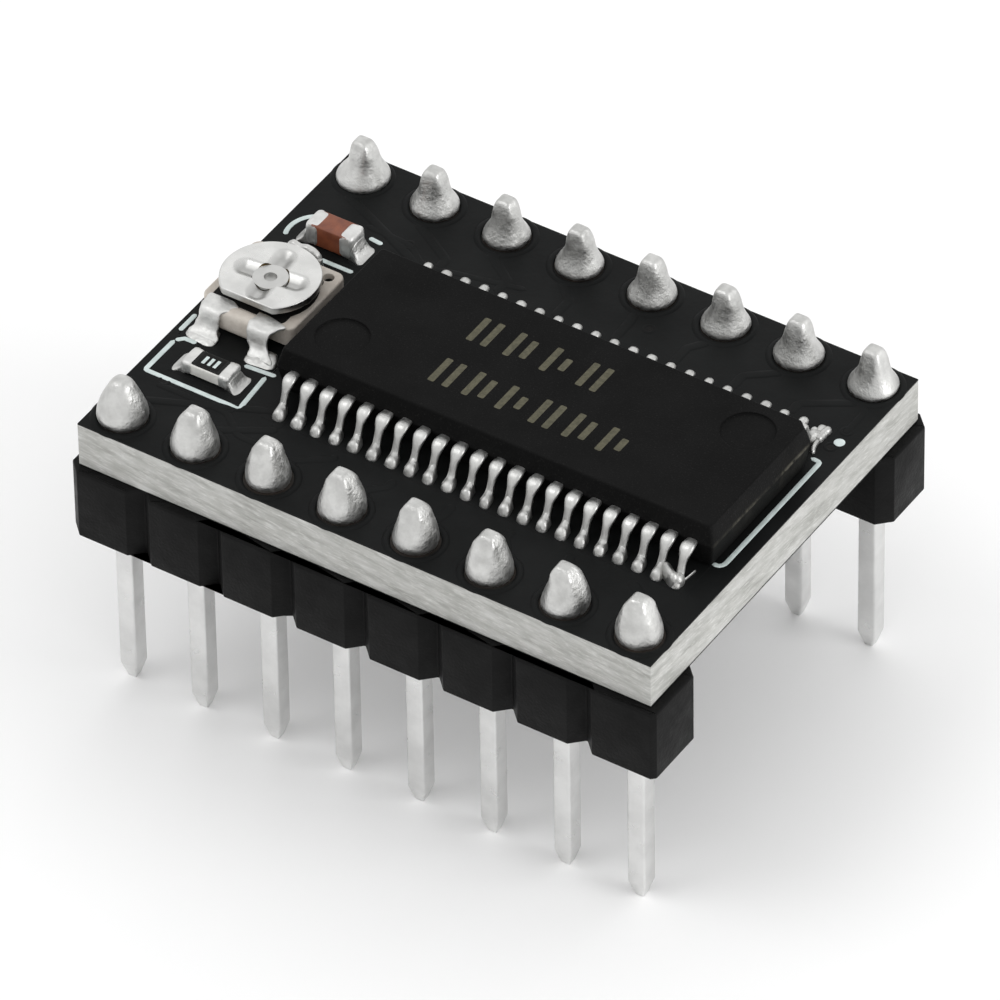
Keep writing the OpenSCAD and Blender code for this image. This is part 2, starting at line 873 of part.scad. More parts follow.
module spots(list) {
    for (p = list) {
        translate([p[0], p[1], 0]) children();
    }
}

module capacitor_body() {
    color(brown_ceramic_colour)
    on_board() spots([capacitor_at]) chip_core(capacitor_size, capacitor_size[2] - 2 * wrap_t);
}

module capacitor_terminals() {
    color(tin_colour)
    on_board() spots([capacitor_at]) {
        end_caps(capacitor_size, capacitor_size[2] - 2 * wrap_t, terminal_reach);
    }
}

module solder_capacitor() {
    color(solder_colour)
    on_board() spots([capacitor_at]) end_solder(capacitor_size, terminal_reach);
}

// Resistors: a white ceramic tile, a thin film on it, and a dark glaze over the film
function tile_height(size) = size[2] - 2 * wrap_t;

module film(size, reach, grow, height) {
    translate([0, 0, seat_z + wrap_t + tile_height(size) + height / 2]) {
        cube([size[0] - 2 * reach + 2 * grow, size[1] - film_side_gap + grow, height], center = true);
    }
}

module overcoat(size, reach) {
    difference() {
        film(size, reach, 0, overcoat_t);
        film(size, reach, -element_inset, element_t);
    }
}

module resistor_substrate() {
    color(alumina_colour)
    on_board() spots([resistor_at]) chip_core(resistor_size, tile_height(resistor_size));
}

module resistor_element() {
    color(film_colour)
    on_board() spots([resistor_at]) film(resistor_size, terminal_reach, -element_inset, element_t);
}

module resistor_overcoat() {
    color(glaze_colour)
    on_board() spots([resistor_at]) overcoat(resistor_size, terminal_reach);
}

module resistor_terminals() {
    color(tin_colour)
    on_board() spots([resistor_at]) {
        end_caps(resistor_size, tile_height(resistor_size), terminal_reach);
    }
}

module solder_resistor() {
    color(solder_colour)
    on_board() spots([resistor_at]) end_solder(resistor_size, terminal_reach);
}

module bypass_capacitor_bodies() {
    color(tan_ceramic_colour)
    under_board() spots(bypass_at) chip_core(bypass_size, bypass_size[2] - 2 * wrap_t);
}

module bypass_capacitor_terminals() {
    color(tin_colour)
    under_board() spots(bypass_at) {
        end_caps(bypass_size, bypass_size[2] - 2 * wrap_t, terminal_reach);
    }
}

module sense_resistor_substrates() {
    color(alumina_colour)
    under_board() spots(sense_at) chip_core(sense_size, tile_height(sense_size));
}

module sense_resistor_overcoats() {
    color(glaze_colour)
    under_board() spots(sense_at) film(sense_size, sense_reach, 0, overcoat_t);
}

module sense_resistor_terminals() {
    color(tin_colour)
    under_board() spots(sense_at) end_caps(sense_size, tile_height(sense_size), sense_reach);
}

module solder_underside() {
    color(solder_colour)
    under_board() {
        spots(bypass_at) end_solder(bypass_size, terminal_reach);
        spots(sense_at) end_solder(sense_size, sense_reach);
    }
}

// ---------------------------------------------------------------- nodes

pcb_core();
solder_mask_top();
solder_mask_bottom();
silkscreen_top();
copper_lands_top();
copper_lands_bottom();
plated_holes();
plated_vias();
housing(-1);  // header_housing_front
housing(1);  // header_housing_rear
for (i = PIN_NUMBERS) {
    header_pin(i, -1);
    header_pin(i, 1);
}
ic_body();
leads(-1);  // ic_leads_front
leads(1);  // ic_leads_rear
ic_die_pad();
ic_die();
ic_bond_wires();
trimmer_base();
trimmer_track();
trimmer_collector();
trimmer_terminal(-1);  // trimmer_terminal_left
trimmer_terminal(1);  // trimmer_terminal_right
trimmer_rotor();
trimmer_wiper();
capacitor_body();
capacitor_terminals();
resistor_substrate();
resistor_element();
resistor_overcoat();
resistor_terminals();
bypass_capacitor_bodies();
bypass_capacitor_terminals();
sense_resistor_substrates();
sense_resistor_overcoats();
sense_resistor_terminals();
solder_pins_front();
solder_pins_rear();
lead_solder(-1);  // solder_leads_front
lead_solder(1);  // solder_leads_rear
solder_chip_pad();
solder_trimmer();
solder_capacitor();
solder_resistor();
solder_underside();
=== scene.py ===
"""Looks of a stepper driver module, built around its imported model.

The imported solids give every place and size. This file gives each one its real
finish, and adds finer surfaces where a plain solid is too crisp: solder that has
flowed, rounded pins and plastic, stamped leads, a dished trimmer disc.
Lengths inside this file are millimetres until a mesh is made, in metres.
"""

import json
import logging
import math
from dataclasses import dataclass, field
from enum import Enum
from typing import Callable, Optional, Sequence

import bmesh
import bpy
import numpy as np
from mathutils import Matrix, Vector


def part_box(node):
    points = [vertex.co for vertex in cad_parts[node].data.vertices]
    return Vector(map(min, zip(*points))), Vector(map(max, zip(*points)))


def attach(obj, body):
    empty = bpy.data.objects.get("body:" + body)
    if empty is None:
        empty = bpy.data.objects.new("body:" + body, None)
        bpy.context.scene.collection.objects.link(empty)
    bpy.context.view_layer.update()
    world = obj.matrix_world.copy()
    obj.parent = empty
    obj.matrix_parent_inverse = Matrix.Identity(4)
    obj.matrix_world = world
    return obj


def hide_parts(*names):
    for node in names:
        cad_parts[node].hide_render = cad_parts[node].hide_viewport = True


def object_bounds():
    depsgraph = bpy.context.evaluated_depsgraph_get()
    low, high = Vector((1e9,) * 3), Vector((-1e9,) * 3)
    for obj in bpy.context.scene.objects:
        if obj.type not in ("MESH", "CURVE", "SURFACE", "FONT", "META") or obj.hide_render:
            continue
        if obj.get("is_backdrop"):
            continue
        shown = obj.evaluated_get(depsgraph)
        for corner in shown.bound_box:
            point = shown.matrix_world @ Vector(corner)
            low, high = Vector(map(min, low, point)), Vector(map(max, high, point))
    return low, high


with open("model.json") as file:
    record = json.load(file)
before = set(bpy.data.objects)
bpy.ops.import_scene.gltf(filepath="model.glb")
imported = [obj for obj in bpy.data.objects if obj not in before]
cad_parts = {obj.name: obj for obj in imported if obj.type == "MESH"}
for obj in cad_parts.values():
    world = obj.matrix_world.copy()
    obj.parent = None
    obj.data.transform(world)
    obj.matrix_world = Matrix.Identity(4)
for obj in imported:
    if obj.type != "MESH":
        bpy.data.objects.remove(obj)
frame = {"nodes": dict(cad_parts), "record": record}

LOG = logging.getLogger("driver_module")
MM = 0.001
BODY = "module"
DISC_BODY = "trimmer_disc"
CAD_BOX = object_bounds()
# Points closer than this are one point when a mesh is welded.
WELD_MM = 2e-4


# ------------------------------------------------------------------ numbers


def linear(hex_colour: str) -> tuple[float, float, float, float]:
    """Turns an sRGB hex colour into linear values.

    Args:
        hex_colour: six hex digits, such as "c8c8c8".

    Returns:
        Linear red, green and blue, and an alpha of 1.
    """
    srgb = np.array([int(hex_colour[k:k + 2], 16) for k in (0, 2, 4)]) / 255
    value = np.where(srgb <= 0.04045, srgb / 12.92, ((srgb + 0.055) / 1.055) ** 2.4)
    return (*value.tolist(), 1.0)


def smooth_step(low: float, high: float, x: np.ndarray) -> np.ndarray:
    """Rises from 0 at low to 1 at high as 3t^2 - 2t^3."""
    t = np.clip((x - low) / (high - low), 0, 1)
    return t * t * (3 - 2 * t)


def box_mm(node: str) -> tuple[np.ndarray, np.ndarray]:
    """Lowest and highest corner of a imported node, in millimetres."""
    low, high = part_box(node)
    return np.array(low) / MM, np.array(high) / MM


# ------------------------------------------------------------------ meshes


@dataclass
class Shell:
    """Collects grid surfaces, in millimetres, and makes them one mesh."""

    points: list = field(default_factory=list)
    faces: list = field(default_factory=list)
    fills: list = field(default_factory=list)
    count: int = 0

    def add(self, grid: np.ndarray, caps: bool = True, fan: bool = True) -> "Shell":
        """Adds a tube given as rings of points.

        A ring closes on itself. The tube is turned so that its signed volume, the sum
        over its faces of the corner triple products, is positive: its faces then point
        outwards.

        Args:
            grid: rings of points, shaped (rings, around, 3).
            caps: whether the ends are closed.
            fan: whether a cap is a fan round the ring's middle, or else one flat face.

        Returns:
            This shell.
        """
        rings, around, _ = grid.shape
        ring = np.arange(around)
        nxt = np.roll(ring, -1)
        row = np.arange(rings - 1)[:, None] * around
        quads = np.stack([row + ring, row + nxt, row + around + nxt, row + around + ring], -1)
        quads = quads.reshape(-1, 4)
        flat = grid.reshape(-1, 3)
        if self._volume(flat, quads, around) < 0:
            flat = grid[:, ::-1].reshape(-1, 3)
        base = self.count
        self.points.append(flat)
        self.faces += (quads + base).tolist()
        self.count += len(flat)
        if caps:
            self._cap(flat, around, base, fan)
        return self

    def _volume(self, flat: np.ndarray, quads: np.ndarray, around: int) -> float:
        """Six times the volume inside a tube whose ends are closed by fans."""
        middle = flat.mean(0)
        a, b, c, d = (flat[quads[:, k]] - middle for k in range(4))
        wall = np.einsum("ij,ij->i", a, np.cross(b, c)) + np.einsum("ij,ij->i", a, np.cross(c, d))
        first, last = flat[:around] - middle, flat[-around:] - middle
        ends = np.einsum("ij,ij->i", first.mean(0) + 0 * first, np.cross(np.roll(first, -1, 0), first))
        ends += np.einsum("ij,ij->i", last.mean(0) + 0 * last, np.cross(last, np.roll(last, -1, 0)))
        return float(wall.sum() + ends.sum())

    def _cap(self, flat: np.ndarray, around: int, base: int, fan: bool) -> None:
        """Closes both ends of the tube whose points start at number base."""
        first = np.arange(around) + base
        last = first + len(flat) - around
        if not fan:
            self.faces += [first[::-1].tolist(), last.tolist()]
            return
        self.points.append(np.stack([flat[:around].mean(0), flat[-around:].mean(0)]))
        down = np.stack([np.full(around, self.count), np.roll(first, -1), first], -1)
        up = np.stack([np.full(around, self.count + 1), last, np.roll(last, -1)], -1)
        self.faces += down.tolist() + up.tolist()
        self.count += 2

    def add_fill(self, *loops: np.ndarray) -> "Shell":
        """Asks for a flat face between an outer loop and the loops of its holes."""
        self.fills.append(loops)
        return self

    def build(self, name: str, finish: "Finish", weld: bool = False,
              sharp: float = 40) -> bpy.types.Object:
        """Makes the mesh object, with its place in its mesh and its object at the origin.

        Args:
            name: the piece's name.
            finish: its finish.
            weld: whether touching points are joined and the faces turned outwards.
            sharp: angle in degrees past which an edge stays crisp.

        Returns:
            The new object.
        """
        mesh = bpy.data.meshes.new(name)
        mesh.from_pydata((np.concatenate(self.points) * MM).tolist(), [], self.faces)
        if weld or self.fills:
            work = bmesh.new()
            work.from_mesh(mesh)
            for loops in self.fills:
                edges = []
                for loop in loops:
                    spots = [work.verts.new(spot) for spot in (loop * MM).tolist()]
                    edges += [work.edges.new(pair) for pair in zip(spots, spots[1:] + spots[:1])]
                bmesh.ops.triangle_fill(work, use_beauty=True, edges=edges)
            bmesh.ops.remove_doubles(work, verts=work.verts, dist=WELD_MM * MM)
            bmesh.ops.recalc_face_normals(work, faces=work.faces)
            work.to_mesh(mesh)
            work.free()
        mesh.polygons.foreach_set("use_smooth", np.ones(len(mesh.polygons), bool))
        mesh.set_sharp_from_angle(angle=math.radians(sharp))
        mesh.materials.append(finish.material())
        piece = bpy.data.objects.new(name, mesh)
        bpy.context.scene.collection.objects.link(piece)
        return piece


def place(piece: bpy.types.Object, finish: "Finish", nodes: Sequence[str] = (), body: str = BODY) -> None:
    """Lets a piece ride on its body and hides the nodes that it stands for."""
    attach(piece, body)
    if nodes:
        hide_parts(*nodes)
    LOG.info("%s: %d faces, %s", piece.name, len(piece.data.polygons), finish.label)


def box_corners(low: Sequence[float], high: Sequence[float]) -> np.ndarray:
    """The four corners of an upright rectangle in plan, counter-clockwise."""
    return np.array([[low[0], low[1]], [high[0], low[1]], [high[0], high[1]], [low[0], high[1]]], float)


def rounded_outline(corners: np.ndarray, radius: float, steps: int = 5) -> np.ndarray:
    """Rounds every corner of a closed outline with an arc.

    The arc's centre lies on the corner's bisector, radius / sin(half angle) from the
    corner, and the arc runs between the two points where it touches the sides.

    Args:
        corners: corner points, shaped (corners, 2).
        radius: the arcs' radius.
        steps: points per arc.

    Returns:
        The outline's points, shaped (corners * steps, 2).
    """
    back = np.roll(corners, 1, 0) - corners
    ahead = np.roll(corners, -1, 0) - corners
    back /= np.linalg.norm(back, axis=1, keepdims=True)
    ahead /= np.linalg.norm(ahead, axis=1, keepdims=True)
    half = np.arccos(np.clip((back * ahead).sum(1), -1, 1)) / 2
    bisector = back + ahead
    bisector /= np.linalg.norm(bisector, axis=1, keepdims=True)
    centre = corners + bisector * (radius / np.sin(half))[:, None]
    reach = (radius / np.tan(half))[:, None]
    start, end = corners + back * reach - centre, corners + ahead * reach - centre
    t = np.linspace(0, 1, steps)[None, :, None]
    swing = (np.pi - 2 * half)[:, None, None]
    arc = (np.sin((1 - t) * swing) * start[:, None] + np.sin(t * swing) * end[:, None]) / np.sin(swing)
    return (centre[:, None] + arc).reshape(-1, 2)


def inset(outline: np.ndarray, distance: float) -> np.ndarray:
    """Moves each point of a counter-clockwise outline inwards along its own normal."""
    ahead = np.roll(outline, -1, 0) - outline
    ahead /= np.maximum(np.linalg.norm(ahead, axis=1, keepdims=True), 1e-9)
    back = np.roll(ahead, 1, 0)
    turn = np.stack([-ahead[:, 1] - back[:, 1], ahead[:, 0] + back[:, 0]], 1)
    turn /= np.linalg.norm(turn, axis=1, keepdims=True)
    normal = np.stack([-ahead[:, 1], ahead[:, 0]], 1)
    return outline + distance * turn / np.maximum((turn * normal).sum(1, keepdims=True), 0.5)


def dense(outline: np.ndarray, step: float) -> np.ndarray:
    """Adds points to a closed outline so that none are further apart than a step."""
    ends = np.roll(outline, -1, 0)
    pieces = []
    for start, end in zip(outline, ends):
        count = max(1, math.ceil(np.linalg.norm(end - start) / step))
        pieces.append(start + (end - start) * np.arange(count)[:, None] / count)
    return np.concatenate(pieces)


def stack(outline: np.ndarray, levels: Sequence[tuple[float, float]]) -> np.ndarray:
    """Rings of one outline at (height, inset) levels, shaped (levels, around, 3)."""
    return np.stack([np.column_stack([inset(outline, shrink), np.full(len(outline), height)])
                     for height, shrink in levels])


def edge_levels(height: float, edge: float, up: int, base: float = 0.0,
                steps: int = 4) -> list[tuple[float, float]]:
    """Levels of one rounded edge, from the wall to the flat face.

    On the quarter circle the inset is edge * (1 - cos t) and the height differs from
    the face by edge * (1 - sin t); one more level, further in, keeps the face flat.

    Args:
        height: height of the flat face.
        edge: radius of the edge.
        up: 1 for an upper face, -1 for a lower one.
        base: inset of the wall.
        steps: levels of the quarter circle.

    Returns:
        (height, inset) pairs, from the wall inwards.
    """
    t = np.linspace(0, math.pi / 2, steps)
    levels = [(height - up * edge * (1 - math.sin(a)), base + edge * (1 - math.cos(a))) for a in t]
    return levels + [(height, base + edge * 1.5)]


def slab(outline: np.ndarray, low: float, high: float, edge: float, steps: int = 4) -> np.ndarray:
    """Rings of a plate with rounded edges, from its lower face to its upper one."""
    under = edge_levels(low, edge, -1, steps=steps)[::-1]
    return stack(outline, under + edge_levels(high, edge, 1, steps=steps))


def drill(shell: Shell, loop: np.ndarray, top: float, floor: float, lip: float) -> np.ndarray:
    """Adds a blind recess to a shell.

    Args:
        shell: the shell to add to.
        loop: the recess in plan, counter-clockwise.
        top: height of the face it is sunk in.
        floor: height of its floor.
        lip: radius of its upper edge.

    Returns:
        The loop, at the face's height, that the face has to leave open.
    """
    t = np.linspace(0, math.pi / 2, 4)
    levels = [(top, -1.6 * lip)]
    levels += [(top - lip * (1 - math.cos(a)), -lip * (1 - math.sin(a))) for a in t]
    levels += [(floor + lip * 0.5, 0), (floor, lip * 0.5), (floor, lip)]
    rings = stack(loop, levels)
    shell.add(rings, caps=False)
    shell.add_fill(rings[-1])
    return rings[0]


def circle(centre: Sequence[float], radius: float, around: int = 48) -> np.ndarray:
    """Points of a circle in plan, counter-clockwise."""
    angle = np.linspace(0, 2 * math.pi, around, endpoint=False)
    return np.stack([centre[0] + radius * np.cos(angle), centre[1] + radius * np.sin(angle)], 1)


def revolve(profile: Sequence[tuple[float, float]], centre: Sequence[float],
            around: int = 48) -> np.ndarray:
    """Carries a (radius, height) profile round an upright axis: (r cos a, r sin a, z)."""
    angle = np.linspace(0, 2 * math.pi, around, endpoint=False)
    radius, height = np.array(profile, float).T[:, :, None]
    return np.stack([centre[0] + radius * np.cos(angle), centre[1] + radius * np.sin(angle),
                     height + 0 * angle], -1)


def super_ring(angle: np.ndarray, power: np.ndarray) -> tuple[np.ndarray, np.ndarray]:
    """Unit ring between a circle and a square: |x|^power + |y|^power = 1 in direction angle."""
    c, s = np.cos(angle), np.sin(angle)
    reach = (np.abs(c) ** power + np.abs(s) ** power) ** (-1 / power)
    return reach * c, reach * s


def flow(keys: Sequence[Sequence[float]], count: int = 40, rounds: int = 4) -> np.ndarray:
    """Softens a list of key stations into a smooth run of stations.

    The keys are spread evenly by the length along their first two columns, then each
    station becomes the 1-2-1 mean of itself and its neighbours, several times over.

    Args:
        keys: stations, one row each; the first two columns are a place.
        count: stations wanted.
        rounds: how often the mean is taken.

    Returns:
        Stations shaped (count, columns).
    """
    keys = np.array(keys, float)
    step = np.linalg.norm(np.diff(keys[:, :2], axis=0), axis=1)
    length = np.concatenate([[0], np.cumsum(step)])
    at = np.linspace(0, length[-1], count)
    path = np.stack([np.interp(at, length, column) for column in keys.T], 1)
    for _ in range(rounds):
        path[1:-1] = (path[:-2] + 2 * path[1:-1] + path[2:]) / 4
    return path


def end_taper(path: np.ndarray, reach: float) -> np.ndarray:
    """Quarter-circle taper near both ends: sqrt(1 - (1 - d / reach)^2) at distance d from an end."""
    step = np.linalg.norm(np.diff(path, axis=0), axis=1)
    length = np.concatenate([[0], np.cumsum(step)])
    near = np.clip(np.stack([length, length[-1] - length]) / reach, 0.02, 1)
    return np.sqrt(1 - (1 - near) ** 2).prod(0)


def ribbon(centre: np.ndarray, across: np.ndarray, half_width: np.ndarray, half_thick: np.ndarray,
           around: int = 16, power: float = 4.0) -> np.ndarray:
    """Tube of rounded-oblong section that follows a path.

    At each station the section's long side lies along across, and its short side along
    the cross product of the path's direction and across.

    Args:
        centre: stations, shaped (stations, 3).
        across: direction of the width, shaped (3,) or (stations, 3).
        half_width: half of the width per station.
        half_thick: half of the thickness per station.
        around: points round the section.
        power: how square the section is; 2 is an ellipse.

    Returns:
        Rings shaped (stations, around, 3).
    """
    tangent = np.gradient(centre, axis=0)
    tangent /= np.linalg.norm(tangent, axis=1, keepdims=True)
    across = np.broadcast_to(across, centre.shape)
    normal = np.cross(tangent, across)
    normal /= np.linalg.norm(normal, axis=1, keepdims=True)
    cx, cy = super_ring(np.linspace(0, 2 * math.pi, around, endpoint=False), np.array(power))
    wide = (half_width[:, None] * cx)[..., None] * across[:, None]
    thick = (half_thick[:, None] * cy)[..., None] * normal[:, None]
    return centre[:, None] + wide + thick


def mound(path: np.ndarray, half_width: np.ndarray, height: np.ndarray, around: int = 15,
          power: float = 2.0) -> np.ndarray:
    """Long drop of solder on a flat face.

    Its section is the upper half of a superellipse: half_width * cos^(2/power) across
    and height * sin^(2/power) up; the lower side is flat.

    Args:
        path: stations on the face, shaped (stations, 3).
        half_width: half of the width per station.
        height: height per station.
        around: points over the section.
        power: 2 is an ellipse, less draws the flanks in, more makes them full.

    Returns:
        Rings shaped (stations, around, 3).
    """
    along = np.gradient(path[:, :2], axis=0)
    along /= np.linalg.norm(along, axis=1, keepdims=True)
    side = np.column_stack([-along[:, 1], along[:, 0], 0 * along[:, 0]])
    angle = np.linspace(0, math.pi, around)
    cx = np.sign(np.cos(angle)) * np.abs(np.cos(angle)) ** (2 / power)
    cz = np.abs(np.sin(angle)) ** (2 / power)
    wide = (half_width[:, None] * cx)[..., None] * side[:, None]
    rise = (height[:, None] * cz)[..., None] * np.array([0, 0, 1.0])
    return path[:, None] + wide + rise


def ripple(points: np.ndarray, size: float, seed: int) -> np.ndarray:
    """Soft waves between -1 and 1: the mean of five sines in seeded directions."""
    rng = np.random.default_rng(seed)
    heading = rng.normal(size=(5, 3))
    heading *= (2 * math.pi / size / np.linalg.norm(heading, axis=1))[:, None]
    return np.sin(points @ heading.T + rng.uniform(0, 2 * math.pi, 5)).mean(-1) * 1.6


# ------------------------------------------------------------------ finishes


def add_node(tree: bpy.types.NodeTree, kind: str, settings: Optional[dict] = None,
             inputs: Optional[dict] = None) -> bpy.types.Node:
    """Adds one node, with its settings, its input values and its links.

    Args:
        tree: the node tree.
        kind: the node's type name, such as "ShaderNodeBump".
        settings: attribute name to value.
        inputs: input name or number to a value, or to an output socket to link from.

    Returns:
        The new node.
    """
    node = tree.nodes.new(kind)
    for name, value in (settings or {}).items():
        setattr(node, name, value)
    for name, value in (inputs or {}).items():
        socket = node.inputs[name]
        if isinstance(value, bpy.types.NodeSocket):
            tree.links.new(value, socket)
        else:
            socket.default_value = value
    return node


@dataclass(frozen=True)
class Pattern:
    """The three sockets that a finish works out: colour, roughness and height in mm."""

    colour: bpy.types.NodeSocket
    roughness: bpy.types.NodeSocket
    height: bpy.types.NodeSocket


@dataclass(frozen=True)
class Finish:
    """A surface as it was made: two shades in soft patches, over a fine grain.

    Subclasses add what is special to one way of making a surface.
    """

    label: str
    slot: str
    shade: str
    patch_shade: str
    patch_mm: float = 1.5
    metallic: float = 0.0
    ior: float = 1.5
    roughness: float = 0.5
    roughness_swing: float = 0.08
    grain_mm: float = 0.08
    grain_depth_mm: float = 0.004

    def coordinates(self, tree: bpy.types.NodeTree,
                    stretch: Sequence[float] = (1, 1, 1)) -> bpy.types.NodeSocket:
        """The piece's own place in millimetres, stretched per axis."""
        place_node = add_node(tree, "ShaderNodeTexCoord")
        scale = tuple(s / MM for s in stretch)
        return add_node(tree, "ShaderNodeMapping", None,
                        {"Vector": place_node.outputs["Object"], "Scale": scale}).outputs["Vector"]

    def noise(self, tree: bpy.types.NodeTree, at: bpy.types.NodeSocket, size_mm: float,
              detail: float = 3.0, roughness: float = 0.55) -> bpy.types.NodeSocket:
        """Soft random values with bumps of a real size."""
        return add_node(tree, "ShaderNodeTexNoise", None, {
            "Vector": at, "Scale": 1 / size_mm, "Detail": detail, "Roughness": roughness}).outputs["Fac"]

    def remap(self, tree: bpy.types.NodeTree, value: bpy.types.NodeSocket, low: float, high: float,
              to_low: float, to_high: float) -> bpy.types.NodeSocket:
        """Carries the span low to high onto to_low to to_high, and holds it there."""
        return add_node(tree, "ShaderNodeMapRange", {"clamp": True}, {
            "Value": value, "From Min": low, "From Max": high,
            "To Min": to_low, "To Max": to_high}).outputs["Result"]

    def mix(self, tree: bpy.types.NodeTree, amount: bpy.types.NodeSocket, first: object,
            second: object, how: str = "MIX") -> bpy.types.NodeSocket:
        """Mixes two colours, each a socket or a linear colour."""
        node = add_node(tree, "ShaderNodeMix", {"data_type": "RGBA", "blend_type": how})
        for slot_number, value in ((0, amount), (6, first), (7, second)):
            if isinstance(value, bpy.types.NodeSocket):
                tree.links.new(value, node.inputs[slot_number])
            else:
                node.inputs[slot_number].default_value = value
        return node.outputs[2]

    def sum_of(self, tree: bpy.types.NodeTree, first: bpy.types.NodeSocket, second: bpy.types.NodeSocket,
               how: str = "ADD") -> bpy.types.NodeSocket:
        """Joins two numbers by one operation."""
        return add_node(tree, "ShaderNodeMath", {"operation": how}, {0: first, 1: second}).outputs[0]

    def pattern(self, tree: bpy.types.NodeTree) -> Pattern:
        """Two shades in patches, roughness that follows a wider noise, and a fine grain."""
        at = self.coordinates(tree)
        patches = self.noise(tree, at, self.patch_mm)
        colour = self.mix(tree, self.remap(tree, patches, 0.35, 0.65, 0, 1),
                          linear(self.shade), linear(self.patch_shade))
        wide = self.noise(tree, at, self.patch_mm * 0.6, 4)
        rough = self.remap(tree, wide, 0.3, 0.7, self.roughness - self.roughness_swing,
                           self.roughness + self.roughness_swing)
        grain = self.noise(tree, at, self.grain_mm, 2)
        return Pattern(colour, rough, self.remap(tree, grain, 0.25, 0.75, 0, self.grain_depth_mm))

    def material(self) -> bpy.types.Material:
        """The Blender material, made once and then shared."""
        known = bpy.data.materials.get(self.label)
        if known:
            return known
        made = bpy.data.materials.new(self.label)
        made.use_nodes = True
        tree = made.node_tree
        tree.nodes.clear()
        pattern = self.pattern(tree)
        # The height is in millimetres, and Distance carries it to metres.
        bump = add_node(tree, "ShaderNodeBump", None, {
            "Strength": 1.0, "Distance": MM, "Height": pattern.height})
        inputs = {"Base Color": pattern.colour, "Roughness": pattern.roughness,
                  "Normal": bump.outputs["Normal"], "Metallic": self.metallic}
        if self.metallic < 0.5:
            inputs["IOR"] = self.ior
        shader = add_node(tree, "ShaderNodeBsdfPrincipled", None, inputs)
        add_node(tree, "ShaderNodeOutputMaterial", None, {"Surface": shader.outputs["BSDF"]})
        made.diffuse_color = linear(self.shade)
        return made


@dataclass(frozen=True)
class DrawnTin(Finish):
    """Tin plate over drawn wire: faint lines run along the pin, with soft dull clouds."""

    line_mm: float = 0.03
    line_depth_mm: float = 0.002

    def pattern(self, tree: bpy.types.NodeTree) -> Pattern:
        """The base pattern, with lines that are twenty times longer than they are wide."""
        base = super().pattern(tree)
        lines = self.noise(tree, self.coordinates(tree, (1, 1, 0.05)), self.line_mm, 2)
        height = self.sum_of(tree, base.height, self.remap(tree, lines, 0.3, 0.7, 0, self.line_depth_mm))
        return Pattern(base.colour, base.roughness, height)


@dataclass(frozen=True)
class FlowedSolder(Finish):
    """Lead-free solder that froze dull: fine crystals, shallow ripples, brighter spots."""

    crystal_mm: float = 0.16
    crystal_depth_mm: float = 0.006

    def pattern(self, tree: bpy.types.NodeTree) -> Pattern:
        """The base pattern, with cells of single crystals in roughness and height."""
        base = super().pattern(tree)
        at = self.coordinates(tree)
        cells = add_node(tree, "ShaderNodeTexVoronoi", {"feature": "F1"}, {
            "Vector": at, "Scale": 1 / self.crystal_mm, "Randomness": 1.0})
        crystals = cells.outputs["Distance"]
        rough = self.sum_of(tree, base.roughness, self.remap(tree, crystals, 0, 0.8, -0.05, 0.1))
        height = self.sum_of(tree, base.height,
                             self.remap(tree, crystals, 0, 0.8, self.crystal_depth_mm, 0))
        return Pattern(base.colour, rough, height)


@dataclass(frozen=True)
class StampedNickel(Finish):
    """Nickel plate with painted shade, greyer with depth, on whatever lies below the disc's face."""

    face_z: float = box_mm("trimmer_rotor")[1][2]
    painted_shade_depth_mm: float = 0.14
    painted_shade_amount: float = 0.45
    painted_shade_colour: str = "8a8a88"

    def pattern(self, tree: bpy.types.NodeTree) -> Pattern:
        """The base pattern, with painted shade: greyer and duller with depth under the face."""
        base = super().pattern(tree)
        height = add_node(tree, "ShaderNodeSeparateXYZ", None, {0: self.coordinates(tree)}).outputs[2]
        depth = self.remap(tree, height, self.face_z - self.painted_shade_depth_mm, self.face_z - 0.02,
                           self.painted_shade_amount, 0)
        # Painted shade: the colour turns grey with depth below the face.
        colour = self.mix(tree, depth, base.colour, linear(self.painted_shade_colour))
        rough = self.sum_of(tree, base.roughness, self.remap(tree, depth, 0, 1, 0, 0.2))
        return Pattern(colour, rough, base.height)


@dataclass(frozen=True)
class SawnLaminate(Finish):
    """Cut edge of glass-epoxy board: layers of glass cloth seen end on, and saw streaks."""

    ply_mm: float = 0.22
    streak_mm: float = 0.06
    # Plies and streaks are this much longer along the edge than they are high, and lean by this angle.
    drawn_out: float = 6.25
    lean_deg: float = 7
    resin_shade: str = "8d8d88"
    glass_shade: str = "dededb"

    def pattern(self, tree: bpy.types.NodeTree) -> Pattern:
        """Plies are noise drawn out along the edge; saw streaks are finer noise of the same kind."""
        base = super().pattern(tree)
        lean = math.radians(self.lean_deg)
        leaning = add_node(tree, "ShaderNodeMapping", None, {
            "Vector": self.coordinates(tree), "Rotation": (lean, -lean, 0)}).outputs["Vector"]
        drawn = add_node(tree, "ShaderNodeMapping", None, {
            "Vector": leaning, "Scale": (1 / self.drawn_out, 1 / self.drawn_out, 1)}).outputs["Vector"]
        plies = self.noise(tree, drawn, self.ply_mm, 4, 0.6)
        streaks = self.noise(tree, drawn, self.streak_mm, 3, 0.7)
        darker = self.mix(tree, self.remap(tree, plies, 0.38, 0.68, 0, 0.75), base.colour,
                          linear(self.resin_shade))
        colour = self.mix(tree, self.remap(tree, streaks, 0.5, 0.75, 0, 0.6), darker,
                          linear(self.glass_shade))
        height = self.sum_of(tree, base.height, self.remap(tree, streaks, 0.3, 0.7, 0, 0.01))
        return Pattern(colour, base.roughness, height)


